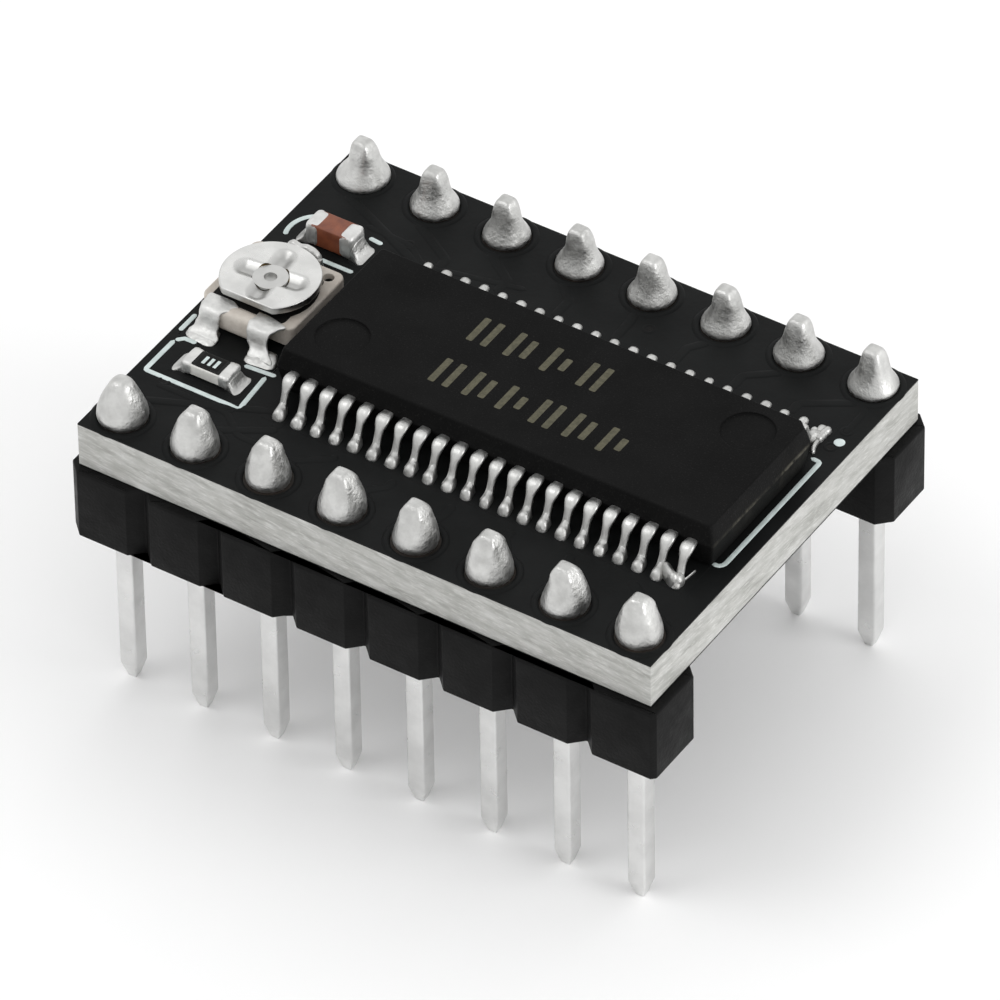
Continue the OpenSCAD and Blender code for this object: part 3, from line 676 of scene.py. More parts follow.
@dataclass(frozen=True)
class MouldCompound(Finish):
    """Epoxy mould compound: spark-eroded matt skin with pale filler specks, and a painted highlight along
    one edge.
    """

    speck_mm: float = 0.05
    speck_shade: str = "2e2e2d"
    edge_highlight_shade: str = "504e46"

    def pattern(self, tree: bpy.types.NodeTree) -> Pattern:
        """The base pattern, with small pale specks, and a painted highlight from the piece's own
        attribute.
        """
        base = super().pattern(tree)
        at = self.coordinates(tree)
        specks = self.noise(tree, at, self.speck_mm, 1)
        speckled = self.mix(tree, self.remap(tree, specks, 0.62, 0.75, 0, 0.5), base.colour,
                            linear(self.speck_shade))
        # Painted highlight: a pale line where the piece's attribute is set, broken up by noise.
        lit_edge = add_node(tree, "ShaderNodeAttribute", {"attribute_name": "edge_highlight"}).outputs["Fac"]
        gaps = self.remap(tree, self.noise(tree, at, 0.3, 5, 0.7), 0.35, 0.6, 0, 1)
        broken = self.sum_of(tree, lit_edge, gaps, "MULTIPLY")
        colour = self.mix(tree, broken, speckled, linear(self.edge_highlight_shade))
        return Pattern(colour, base.roughness, base.height)


@dataclass(frozen=True)
class Kit:
    """Every finish of the module, by what it is."""

    # Black epoxy solder mask, curtain coated: satin, with slow waves in its gloss.
    mask: Finish = Finish("solder_mask_black_epoxy_coated", "black_solder_mask", "131414", "181919",
                          patch_mm=2.2, roughness=0.42, roughness_swing=0.06, grain_mm=0.25,
                          grain_depth_mm=0.004, ior=1.16)
    # Glass-epoxy board, routed: pale grey edge with the cloth's plies and saw streaks.
    laminate: Finish = SawnLaminate("glass_epoxy_board_routed", "glass_epoxy_laminate", "b2b2ae", "bebebb",
                                    patch_mm=0.8, roughness=0.75, grain_mm=0.05, grain_depth_mm=0.008)
    # Legend ink, screen printed: flat, slightly see-through pale grey.
    ink: Finish = Finish("legend_ink_screen_printed", "legend_ink", "d3dedd", "c2cecc", patch_mm=0.25,
                         roughness=0.6, grain_mm=0.04, grain_depth_mm=0.006)
    # Copper foil lands, etched: coloured near-black as painted shade, where the lands lie under the leads
    # and round the joints.
    copper: Finish = Finish("copper_foil_painted_shade", "bare_copper_land", "211d1a", "2d2621",
                            patch_mm=0.6, roughness=0.6, grain_mm=0.03, ior=1.3)
    # Glass-filled polyester, injection moulded: near-black with a faint sheen.
    plastic: Finish = Finish("glass_filled_polyester_moulded", "header_plastic", "121212", "171717",
                             patch_mm=1.1, ior=1.16, roughness=0.5, roughness_swing=0.1, grain_mm=0.1,
                             grain_depth_mm=0.006)
    # Tin plate over drawn brass wire.
    pin_tin: Finish = DrawnTin("tin_plated_brass_drawn", "header_pin_tin", "e4e4e3", "d8d8d7",
                               patch_mm=0.9, metallic=1.0, roughness=0.34, grain_mm=0.06,
                               grain_depth_mm=0.002)
    # Matt tin over a stamped copper lead frame.
    lead_tin: Finish = Finish("matt_tin_stamped_lead", "tinned_lead_frame", "d8d8d6", "c6c6c4",
                              patch_mm=0.3, metallic=1.0, roughness=0.41, roughness_swing=0.1,
                              grain_mm=0.05, grain_depth_mm=0.004)
    # Solder flowed in air.
    solder: Finish = FlowedSolder("lead_free_solder_flowed", "solder", "d2d2d0", "bdbdbb", patch_mm=0.5,
                                  metallic=1.0, roughness=0.4, roughness_swing=0.1, grain_mm=0.07,
                                  grain_depth_mm=0.006)
    # Epoxy mould compound, with a painted highlight along the far end's parting line.
    mould: Finish = MouldCompound("epoxy_mould_compound_transfer_moulded", "epoxy_mould_compound",
                                  "0f0f0f", "121212", patch_mm=2.5, ior=1.14, roughness=0.6, grain_mm=0.05,
                                  grain_depth_mm=0.005)
    # Laser-marked mould compound: burnt to a dull olive grey.
    mark: Finish = Finish("mould_compound_laser_marked", "epoxy_mould_compound", "575442", "464434",
                          patch_mm=0.12, roughness=0.8, grain_mm=0.04, grain_depth_mm=0.01)
    # Nickel-plated steel, stamped and dished: bright satin, with painted shade below the disc's face.
    nickel: Finish = StampedNickel("nickel_plated_steel_stamped", "trimmer_steel", "d6d6d4", "c9c9c7",
                                   patch_mm=0.8, metallic=1.0, roughness=0.3, roughness_swing=0.08,
                                   grain_mm=0.05, grain_depth_mm=0.002)
    # Tin-dipped steel clips and chip end caps.
    dipped: Finish = FlowedSolder("tin_dipped_terminal", "tinned_terminal", "e0e0de", "cfcfcd",
                                  patch_mm=0.35, metallic=0.85, roughness=0.44, grain_mm=0.05,
                                  grain_depth_mm=0.004)
    # Fired steatite: warm white, dull.
    steatite: Finish = Finish("steatite_ceramic_fired", "trimmer_ceramic", "c9c2b9", "b5aca2",
                              patch_mm=0.7, roughness=0.7, grain_mm=0.05, grain_depth_mm=0.006)
    # Fired alumina: cold white.
    alumina: Finish = Finish("alumina_ceramic_fired", "alumina", "e6e5e0", "d4d3ce", patch_mm=0.4,
                             roughness=0.6, grain_mm=0.04, grain_depth_mm=0.005)
    # Carbon-cermet track, screened and fired; the same near-black also serves as painted shade in holes
    # and under the trimmer's disc.
    track: Finish = Finish("cermet_film_and_painted_shade", "resistive_film", "131313", "191817", patch_mm=0.3,
                           ior=1.2, roughness=0.55, grain_mm=0.03)
    # Glaze over the resistor's film.
    glaze: Finish = Finish("resistor_glass_glaze", "resistor_glaze", "1a1a1a", "20201f", patch_mm=0.4,
                           ior=1.2, roughness=0.35, grain_mm=0.06, grain_depth_mm=0.003)
    # Barium titanate chip, fired: red-brown.
    brown: Finish = Finish("barium_titanate_chip_fired", "brown_capacitor_ceramic", "84492f", "6e3a26",
                           patch_mm=0.4, roughness=0.45, grain_mm=0.03, grain_depth_mm=0.003)
    # The same, in the tan grade.
    tan: Finish = Finish("barium_titanate_chip_tan_fired", "tan_capacitor_ceramic", "a98a66", "9c7c5a",
                         patch_mm=0.4, roughness=0.45, grain_mm=0.03, grain_depth_mm=0.003)
    # Polished silicon.
    silicon: Finish = Finish("silicon_die_polished", "silicon", "4b4f58", "5a5e66", patch_mm=0.5,
                             metallic=1.0, roughness=0.15, grain_mm=0.05, grain_depth_mm=0.0005)
    # Gold wire and spring alloy.
    gold: Finish = Finish("gold_wire_drawn", "gold_wire", "d8ae55", "c99e48", patch_mm=0.4,
                          metallic=1.0, roughness=0.25, grain_mm=0.03, grain_depth_mm=0.001)


KIT = Kit()


def dress(nodes: Sequence[str], finish: Finish) -> None:
    """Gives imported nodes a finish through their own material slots."""
    for name in nodes:
        node = frame["nodes"][name]
        if not node.material_slots:
            node.data.materials.append(finish.material())
        for held in node.material_slots:
            held.link = "OBJECT"
            held.material = finish.material()
        LOG.info("%s: packed node, %s", name, finish.label)


# ------------------------------------------------------------------ sub-assemblies


class Row(Enum):
    """The two long sides of the module, by the sign of their Y."""

    FRONT = -1
    REAR = 1

    @property
    def label(self) -> str:
        """The row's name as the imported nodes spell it."""
        return self.name.lower()


# Copper and mask together, on each face of the board.
COAT = 0.05
BOARD_TOP = box_mm("pcb_core")[1][2] + COAT
BOARD_BOTTOM = box_mm("pcb_core")[0][2] - COAT
PINS = range(1, 9)
# Solder starts this far below the face it lies on, so that no gap shows.
SUNK = 0.014
# Directions: along the pin rows, and across them.
ALONG = np.array([1.0, 0, 0])
ACROSS = np.array([0, 1.0, 0])


def pin_at(row: Row, number: int) -> np.ndarray:
    """Middle of one pin, in plan."""
    low, high = box_mm(f"header_pin_{row.label}_{number}")
    return ((low + high) / 2)[:2]


@dataclass
class Board:
    """Mask relief and print on the board's upper face."""

    # The raised mask round a pin's land: radius, height.
    ring: tuple = ((0.74, -0.02), (0.76, 0.0), (0.79, 0.03), (0.85, 0.042), (0.92, 0.036), (0.98, 0.008),
                   (1.0, -0.02), (0.74, -0.02))
    trace_half: float = 0.16
    trace_rise: float = 0.016
    stray_half: float = 0.12
    stray_rise: float = 0.014
    print_half: float = 0.08
    print_rise: float = 0.018
    # A pin's strip leaves the chip's side at this share of the pin's distance along it, at most
    # this far from its middle, and starts this far across.
    fan_share: float = 0.8
    fan_limit: float = 6.6
    fan_start: float = 4.25
    # Other copper strips that show through the mask: points in plan.
    stray_traces: tuple = (((-8.9, -4.62), (-6.4, -4.62), (-5.6, -5.3), (-4.6, -5.3)),
                           ((-7.6, 4.55), (-6.0, 4.5), (-5.2, 3.9), (-2.0, 4.6)),
                           ((9.3, 4.1), (9.3, 5.2), (8.95, 5.6)))
    # Mask round the leads: how far it reaches sideways, and its two edges from the row's outer edge.
    dam_side: float = 0.3
    dam_front: tuple = (-0.2, 1.3)
    dam_rear: tuple = (-1.0, 0.68)
    # Mask round the small parts: how far it reaches along X and Y.
    dam_part: tuple = (0.45, 0.12)
    # Mask round the trimmer's clips and its collector: lowest and highest corner in plan.
    trimmer_dams: tuple = (((-9.55, -2.52), (-6.3, -1.2)), ((-8.78, 1.3), (-7.08, 2.2)))
    vias: tuple = ((9.29, 4.23), (9.25, 3.41), (-8.76, -4.41), (-6.46, -4.39), (-6.04, 4.48), (2.0, 5.03))
    via_ring: tuple = ((0.1, -0.01), (0.11, 0.005), (0.14, 0.014), (0.2, 0.01), (0.24, -0.01),
                       (0.1, -0.01))
    # A near-black disc in each via: painted shade in its hollow.
    via_shadow_disc: tuple = ((0.115, -0.004), (0.11, 0.003), (0.05, 0.002))
    # Printed lines: beside the chip, round the resistor, and short straight ones.
    chip_line: tuple = ((9.02, 2.7), (9.35, 2.68), (9.35, 2.4), (9.35, -2.2), (9.35, -2.55),
                        (9.22, -2.7), (9.0, -2.66))
    resistor_line: tuple = ((-9.52, -2.75), (-9.52, -4.1), (-9.52, -4.28), (-9.34, -4.28), (-6.4, -4.28),
                            (-6.22, -4.28), (-6.23, -4.1), (-6.34, -2.7))
    resistor_corner: tuple = ((-9.5, -2.72), (-9.3, -2.52), (-8.9, -2.52))
    short_lines: tuple = (((-9.63, -1.45), (-9.63, -2.3)), ((-7.2, 4.13), (-6.72, 4.08)),
                          ((-7.9, 2.55), (-6.75, 2.55)), ((-7.15, -2.6), (-6.1, -2.52)))
    # The arc round the capacitor: centre, radius, first and last angle.
    arc: tuple = ((-8.55, 3.35), 0.95, 205, 105)
    dot_at: tuple = (9.37, 3.7)
    dot: tuple = ((0.15, -0.005), (0.17, 0.01), (0.15, 0.02), (0.05, 0.021))

    def build(self) -> None:
        """Adds the pad rings, the mask dams, the trace relief, the closed vias and the print."""
        self._rings()
        self._dams()
        self._traces()
        self._vias()
        self._print()

    def _turned(self, profile: Sequence[tuple[float, float]], spot: Sequence[float],
                around: int) -> np.ndarray:
        """Carries a (radius, height above the board) profile round a spot."""
        return revolve([(radius, BOARD_TOP + height) for radius, height in profile], spot, around)

    def _rings(self) -> None:
        """Mask drawn up over each pad's rim: a low rounded ring."""
        shell = Shell()
        for row in Row:
            for number in PINS:
                shell.add(self._turned(self.ring, pin_at(row, number), 56), caps=False)
        place(shell.build("pad_rings", KIT.mask, weld=True), KIT.mask)

    def _dams(self) -> None:
        """Mask drawn right up to the feet of the leads and of the small parts."""
        low, high = box_mm("ic_leads_front")
        far = box_mm("ic_leads_rear")[1][1]
        left, right = low[0] - self.dam_side, high[0] + self.dam_side
        patches = [((left, edge + near), (right, edge + away))
                   for edge, (near, away) in ((low[1], self.dam_front), (far, self.dam_rear))]
        patches += self.trimmer_dams
        for name in ("capacitor_terminals", "resistor_terminals"):
            low, high = box_mm(name)
            patches.append((low[:2] - self.dam_part, high[:2] + self.dam_part))
        shell = Shell()
        for low, high in patches:
            outline = rounded_outline(box_corners(low, high), 0.1, 5)
            shell.add(slab(outline, BOARD_TOP - 0.01, BOARD_TOP + 0.006, 0.004, 2))
        place(shell.build("mask_dams", KIT.mask), KIT.mask)

    def _strip(self, keys: Sequence[Sequence[float]], half: float, rise: float, rounds: int) -> np.ndarray:
        """A low strip on the board along points in plan, with a rounded top and ends."""
        path = flow(keys, 12 + 8 * len(keys), rounds)
        centre = np.column_stack([path[:, :2], np.full(len(path), BOARD_TOP)])
        along = np.gradient(centre, axis=0)
        side = np.stack([-along[:, 1], along[:, 0], 0 * along[:, 0]], 1)
        side /= np.linalg.norm(side, axis=1, keepdims=True)
        taper = end_taper(centre, half)
        return ribbon(centre, side, half * taper, rise * (0.5 + 0.5 * taper), 12, 2.6)

    def _traces(self) -> None:
        """Copper strips that show as faint ridges in the mask."""
        low, high = box_mm("ic_body")
        middle = (low + high) / 2
        shell = Shell()
        for row in Row:
            for number in PINS:
                x, y = pin_at(row, number)
                away = np.clip((x - middle[0]) * self.fan_share, -self.fan_limit, self.fan_limit)
                start = middle[0] + away
                bend = y - row.value * (1.0 + abs(x - start) * 0.35)
                keys = [(start, middle[1] + row.value * self.fan_start), (start, bend + row.value * -0.3),
                        (x, y - row.value * 0.9)]
                shell.add(self._strip(keys, self.trace_half, self.trace_rise, 3))
        for keys in self.stray_traces:
            shell.add(self._strip(keys, self.stray_half, self.stray_rise, 3))
        place(shell.build("trace_relief", KIT.mask), KIT.mask)

    def _vias(self) -> None:
        """Vias closed by mask: a low ring round a near-black disc, painted shade in the via's hollow."""
        rings, shadow_discs = Shell(), Shell()
        for spot in self.vias:
            rings.add(self._turned(self.via_ring, spot, 28), caps=False)
            shadow_discs.add(self._turned(self.via_shadow_disc, spot, 28))
        place(rings.build("via_rings", KIT.mask, weld=True), KIT.mask)
        place(shadow_discs.build("via_shadow_discs", KIT.track), KIT.mask)

    def _print(self) -> None:
        """Legend lines with rounded ends, and the pin-one dot."""
        (x, y), radius, first, last = self.arc
        arc = [(x + radius * math.cos(math.radians(a)), y + radius * math.sin(math.radians(a)))
               for a in range(first, last - 10, -10)]
        soft = [(keys, 1) for keys in (self.chip_line, arc, self.resistor_line)]
        strokes = soft + [(keys, 0) for keys in self.short_lines] + [(self.resistor_corner, 1)]
        shell = Shell()
        for keys, rounds in strokes:
            shell.add(self._strip(keys, self.print_half, self.print_rise, rounds))
        shell.add(self._turned(self.dot, self.dot_at, 32))
        place(shell.build("legend_print", KIT.ink), KIT.ink, ["silkscreen_top"])


@dataclass
class PinHeaders:
    """Two eight-way strips: moulded housings and square pins with coined ends."""

    notch: float = 0.42
    square_end: float = 0.14
    edge: float = 0.07
    corner: float = 0.05
    pin_corner: float = 0.07
    tip_length: float = 0.55
    # The coined end of a tip: height above the point, and half width there.
    tip_nose: tuple = ((0, 0.128), (0.02, 0.15), (0.05, 0.16))

    def build(self) -> None:
        """Adds both strips and all sixteen pins."""
        for row in Row:
            self._housing(row)
            for number in PINS:
                self._pin(row, number)

    def _housing(self, row: Row) -> None:
        """One strip: its plan is a row of squares with their corners cut, run up to its height."""
        node = f"header_housing_{row.label}"
        low, high = box_mm(node)
        cell = (high[0] - low[0]) / len(PINS)
        lower, upper = [], []
        for k in range(len(PINS)):
            x0, x1 = low[0] + k * cell, low[0] + (k + 1) * cell
            lower += [(x0 + self.notch, low[1]), (x1 - self.notch, low[1])]
            upper += [(x0 + self.notch, high[1]), (x1 - self.notch, high[1])]
            if k < len(PINS) - 1:
                lower.append((x1, low[1] + self.notch))
                upper.append((x1, high[1] - self.notch))
        # The front strip keeps the square end it was moulded with, and the rear one was cut at a notch.
        end = self.square_end if row is Row.FRONT else self.notch
        lower[-1] = (high[0] - end, low[1])
        ends = [(high[0], low[1] + end), (high[0], high[1] - self.notch)]
        starts = [(low[0], high[1] - self.notch), (low[0], low[1] + self.notch)]
        outline = rounded_outline(np.array(lower + ends + upper[::-1] + starts, float), self.corner, 4)
        shell = Shell().add(slab(outline, low[2], high[2], self.edge), fan=False)
        place(shell.build(f"housing_{row.label}", KIT.plastic, sharp=50), KIT.plastic, [node])

    def _pin(self, row: Row, number: int) -> None:
        """One pin: rounded squares whose side shrinks evenly over both tips."""
        node = f"header_pin_{row.label}_{number}"
        low, high = box_mm(node)
        middle, half, length = (low + high) / 2, (high[0] - low[0]) / 2, high[2] - low[2]
        shoulder = [(self.tip_length - 0.05, half - 0.012), (self.tip_length, half - 0.002),
                    (self.tip_length + 0.05, half)]
        tip = list(self.tip_nose) + shoulder
        levels = tip + [(length - height, size) for height, size in tip[::-1]]
        rings = []
        for height, size in levels:
            corners = box_corners((-size, -size), (size, size))
            ring = rounded_outline(corners, self.pin_corner * size / half, 4)
            rings.append(np.column_stack([ring + middle[:2], np.full(len(ring), low[2] + height)]))
        shell = Shell().add(np.stack(rings))
        place(shell.build(f"pin_{row.label}_{number}", KIT.pin_tin, sharp=35), KIT.pin_tin, [node])


@dataclass
class PinSolder:
    """Hand-made joints round the pins: full eggs in front, drawn-in bells at the rear."""

    around: int = 48
    # Depth of each of the three lobes against the radius, and the joints' spread of lean in mm.
    lobe: float = 0.022
    lean: float = 0.03
    # Stations of radius, height above the board, and squareness of the section.
    egg: tuple = ((0.66, -0.02, 2.0), (0.69, 0.04, 2.0), (0.705, 0.16, 2.0), (0.69, 0.33, 2.0),
                  (0.635, 0.55, 2.1), (0.55, 0.77, 2.3), (0.465, 0.97, 2.9), (0.4, 1.12, 4.0),
                  (0.37, 1.19, 6.0), (0.345, 1.24, 7.0), (0.23, 1.42, 6.0), (0.17, 1.46, 5.0))
    blob: tuple = ((0.70, -0.02, 2.0), (0.75, 0.05, 2.0), (0.78, 0.2, 2.0), (0.75, 0.42, 2.0),
                   (0.67, 0.66, 2.0), (0.56, 0.9, 2.1), (0.44, 1.12, 2.3), (0.35, 1.3, 2.6),
                   (0.25, 1.42, 2.8), (0.12, 1.465, 2.8))
    bell: tuple = ((0.68, -0.02, 2.0), (0.735, 0.02, 2.0), (0.755, 0.1, 2.0), (0.725, 0.2, 2.0),
                   (0.635, 0.35, 2.0), (0.535, 0.52, 2.1), (0.46, 0.7, 2.3), (0.41, 0.86, 2.7),
                   (0.375, 1.0, 3.4), (0.335, 1.14, 4.2), (0.295, 1.27, 5.0), (0.255, 1.38, 5.5),
                   (0.2, 1.45, 5.0), (0.14, 1.465, 4.0))
    # Foot radius of each joint against its profile, from the first pin to the last.
    egg_scale: tuple = (1.0, 1.04, 0.97, 1.03, 0.98, 1.0, 1.03, 0.99)
    bell_scale: tuple = (1.12, 1.01, 0.98, 0.99, 1.0, 1.0, 1.02, 1.03)

    def build(self) -> None:
        """Adds one piece per row."""
        for row in Row:
            shell = Shell()
            for number in PINS:
                shell.add(self._joint(row, number))
            name = f"solder_pins_{row.label}"
            place(shell.build(f"joints_{row.label}", KIT.solder, sharp=38), KIT.solder, [name])

    def _joint(self, row: Row, number: int) -> np.ndarray:
        """Rings of one joint, with a slight lean and three soft lobes of its own."""
        rng = np.random.default_rng(100 * number + row.value)
        keys = self.bell if row is Row.REAR else self.blob if number == 1 else self.egg
        scale = (self.bell_scale if row is Row.REAR else self.egg_scale)[number - 1]
        radius, height, power = flow(keys, 34, 2).T[:, :, None]
        share = np.clip(height / height.max(), 0, 1)
        angle = np.linspace(0, 2 * math.pi, self.around, endpoint=False)[None]
        lobes = sum(self.lobe * rng.uniform(0.5, 1) * np.cos(k * angle + rng.uniform(0, 6.3))
                    for k in (2, 3, 5))
        radius = radius * (1 + (scale - 1) * (1 - share)) * (1 + lobes * np.sin(math.pi * share) ** 0.7)
        cx, cy = super_ring(angle, power)
        lean = rng.normal(0, self.lean, 2)
        at = pin_at(row, number)
        swing = np.sin(math.pi * share)
        return np.stack([at[0] + radius * cx + lean[0] * swing, at[1] + radius * cy + lean[1] * swing,
                         BOARD_TOP + height + 0 * angle], -1)


@dataclass
class DriverChip:
    """Moulded chip with gull-wing leads, their solder and a generic laser mark."""

    corner: float = 0.1
    bevel: float = 0.25
    draft: float = 0.14
    edge: float = 0.05
    # Round dents in the top, from the chip's middle.
    ejectors: tuple = ((-6.15, -1.29), (6.05, 1.44))
    ejector_r: float = 0.825
    leads: int = 22
    # How far the iron dragged each toe's solder along the row.
    drag: float = 0.05
    pitch: float = 0.65
    lead_half: float = 0.075
    # Stations of a lead: distance from the chip's middle, height, half width, half thickness.
    wing: tuple = ((2.6, 0.95, 0.15, 0.075), (2.8, 0.95, 0.165, 0.08), (2.92, 0.955, 0.19, 0.09),
                   (3.04, 0.95, 0.205, 0.095), (3.14, 0.9, 0.205, 0.095), (3.22, 0.8, 0.175, 0.085),
                   (3.29, 0.67, 0.125, 0.08), (3.36, 0.5, 0.112, 0.075), (3.42, 0.34, 0.115, 0.075),
                   (3.48, 0.2, 0.13, 0.08), (3.58, 0.13, 0.145, 0.08), (3.72, 0.11, 0.145, 0.08),
                   (3.82, 0.1, 0.14, 0.075))
    # Stations of a foot's solder: distance, half width, height. The rear lands reach further out.
    foot: tuple = ((3.36, 0.05, 0.36), (3.42, 0.12, 0.4), (3.5, 0.165, 0.35), (3.62, 0.18, 0.3),
                   (3.74, 0.185, 0.29), (3.81, 0.185, 0.26), (3.87, 0.17, 0.18), (3.91, 0.13, 0.09),
                   (3.94, 0.05, 0.015))
    rear_tail: tuple = ((3.84, 0.17, 0.24), (3.96, 0.15, 0.16), (4.08, 0.155, 0.15), (4.2, 0.16, 0.15),
                        (4.28, 0.14, 0.11), (4.33, 0.1, 0.06), (4.36, 0.04, 0.015))
    # Bridges between the last leads: three points in plan, half width and height.
    bridges: dict = field(default_factory=lambda: {
        Row.FRONT: (((8.0, -3.62), (8.3, -3.86), (8.7, -4.1), 0.17, 0.42),
                    ((8.56, -3.66), (8.62, -3.9), (8.66, -4.14), 0.2, 0.36),
                    ((8.62, -3.98), (8.74, -3.7), (8.8, -3.2), 0.026, 0.075)),
        Row.REAR: (((8.42, 3.78), (8.62, 3.62), (8.8, 3.4), 0.13, 0.2),
                   ((8.84, 4.06), (8.8, 3.75), (8.8, 3.35), 0.13, 0.18),
                   ((8.8, 3.45), (8.86, 3.1), (8.98, 2.85), 0.07, 0.12))})
    # Rows of the mark from the chip's middle: Y, first and last column, columns.
    mark_rows: tuple = ((-1.01, -2.69, 3.04, 6), (1.08, -2.72, 1.04, 4))
    bar_half: tuple = (0.11, 0.56)
    bar_shorter: float = 0.14
    bar_apart: float = 0.24
    # Stretches of the far end's parting line with a painted highlight: middle Y, half length where it
    # fades out, the same where it is full, and strength. The painted highlight lies within this height of
    # the parting line.
    lit_stretches: tuple = ((-1.3, 0.75, 0.55, 0.6), (1.45, 0.8, 0.65, 1.0))
    highlight_half: float = 0.05

    def __post_init__(self) -> None:
        """Reads the body's box and works out its middle and its parting line."""
        self.low, self.high = box_mm("ic_body")
        self.middle = (self.low + self.high) / 2
        self.parting = box_mm("ic_leads_front")[1][2] - self.lead_half

    def build(self) -> None:
        """Adds the body, its mark, both rows of leads and their solder."""
        self._body()
        self._mark()
        for row in Row:
            self._leads(row)
            self._solder(row)

    def _outline(self) -> np.ndarray:
        """Plan of the body, with the corner by pin one cut off."""
        x0, y0, x1, y1 = *self.low[:2], *self.high[:2]
        cut = [(x1, y1 - self.bevel), (x1 - self.bevel, y1)]
        corners = np.array([(x0, y0), (x1, y0), *cut, (x0, y1)], float)
        return dense(rounded_outline(corners, self.corner, 5), 0.15)

    def _body(self) -> None:
        """Two drafted halves that meet at a parting line, with two ejector dents on top."""
        outline = self._outline()
        centre, half = self.middle[:2], (self.high - self.low)[:2] / 2
        pull = np.clip((outline - centre) / (half - self.corner), -1, 1)
        line = [(self.parting - 0.05, 0.012), (self.parting - 0.02, 0.0), (self.parting + 0.02, 0.0),
                (self.parting + 0.05, 0.012), (self.parting + 0.11, 0.022)]
        levels = edge_levels(self.low[2], self.edge, -1, self.draft)[::-1] + line
        levels += edge_levels(self.high[2], self.edge, 1, self.draft)
        rings = np.stack([np.column_stack([outline - shrink * pull, np.full(len(outline), height)])
                          for height, shrink in levels])
        shell = Shell().add(rings, caps=False)
        top = self.high[2]
        holes = [drill(shell, circle(centre + spot, self.ejector_r), top, top - 0.06, 0.02)
                 for spot in self.ejectors]
        shell.add_fill(rings[0])
        shell.add_fill(rings[-1], *holes)
        piece = shell.build("chip_body", KIT.mould, sharp=35)
        self._paint_edge_highlight(piece)
        place(piece, KIT.mould, ["ic_body"])

    def _paint_edge_highlight(self, piece: bpy.types.Object) -> None:
        """Marks where a painted highlight runs along the far end's parting line, in a point attribute."""
        spots = np.empty(len(piece.data.vertices) * 3)
        piece.data.vertices.foreach_get("co", spots)
        x, y, z = (spots.reshape(-1, 3) / MM).T
        # Painted highlight: strongest on the parting line at the far end, within the listed stretches.
        near = (x > self.high[0] - 0.05) * np.exp(-((z - self.parting - 0.02) / self.highlight_half) ** 2)
        stretch = np.max([smooth_step(faded, full, abs(y - middle)) * strength
                          for middle, faded, full, strength in self.lit_stretches], axis=0)
        edge_highlight = near * (stretch + 0.25)
        piece.data.attributes.new("edge_highlight", "FLOAT", "POINT").data.foreach_set("value", edge_highlight)

    def _mark(self) -> None:
        """Two rows of plain upright bars, as shallow burnt strips."""
        top = self.high[2]
        wide, longest = self.bar_half
        shell = Shell()
        for y, first, last, columns in self.mark_rows:
            for k, x in enumerate(np.linspace(first, last, columns)):
                for side, length in ((-1, longest), (1, longest - self.bar_shorter * (k % 3))):
                    at = self.middle[:2] + (x + side * self.bar_apart, y)
                    half = np.array([wide, length])
                    outline = rounded_outline(box_corners(at - half, at + half), 0.05, 4)
                    shell.add(slab(outline, top - 0.004, top + 0.004, 0.003, 2))
        place(shell.build("chip_mark", KIT.mark), KIT.mark)

    def _lead_x(self, k: int) -> float:
        """Place of the k-th lead along the chip."""
        return self.middle[0] + (k - (self.leads - 1) / 2) * self.pitch

    def _leads(self, row: Row) -> None:
        """Leads of one side: wide shoulder, narrow slope, foot."""
        shell = Shell()
        rng = np.random.default_rng(7 + row.value)
        out, height, half_width, half_thick = flow(self.wing, 34, 2).T
        for k in range(self.leads):
            drift = rng.normal(0, 0.008, 2)
            share = np.clip((out - 3.0) / 0.8, 0, 1)
            centre = np.column_stack([self._lead_x(k) + drift[0] * share, self.middle[1] + row.value * out,
                                      BOARD_TOP + height + drift[1] * (1 - share)])
            round_end = end_taper(centre, 0.05)
            wide = half_width * (1 + rng.normal(0, 0.03)) * round_end
            shell.add(ribbon(centre, ALONG, wide, half_thick * round_end, 16, 3.6))
        piece = shell.build(f"leads_{row.label}", KIT.lead_tin, sharp=50)
        place(piece, KIT.lead_tin, [f"ic_leads_{row.label}"])

    def _solder(self, row: Row) -> None:
        """Solder drawn over each foot, with the odd bridge at the last leads."""
        shell = Shell()
        rng = np.random.default_rng(17 + row.value)
        stations = self.foot if row is Row.FRONT else self.foot[:5] + self.rear_tail
        out, half_width, height = flow(stations, 26, 1).T
        for k in range(self.leads):
            stretch = 1 + rng.normal(0, 0.012)
            fat = 1 + rng.normal(0, 0.06)
            path = np.column_stack([self._lead_x(k) + self.drag * np.clip((out - 3.4) / 0.4, 0, 1.2),
                                    self.middle[1] + row.value * (3.4 + (out - 3.4) * stretch),
                                    np.full(len(out), BOARD_TOP - SUNK)])
            shell.add(mound(path, half_width * fat, height * (1 + rng.normal(0, 0.07)) + SUNK, 15, 2.2))
        for start, middle, end, half, rise in self.bridges[row]:
            plan = flow([start, middle, end], 18, 3)
            path = np.column_stack([plan, np.full(len(plan), BOARD_TOP)])
            taper = end_taper(path, half)
            shell.add(mound(path, half * taper, rise * taper, 15, 2.2))
        name = f"solder_leads_{row.label}"
        place(shell.build(f"feet_{row.label}", KIT.solder, sharp=50), KIT.solder, [name])


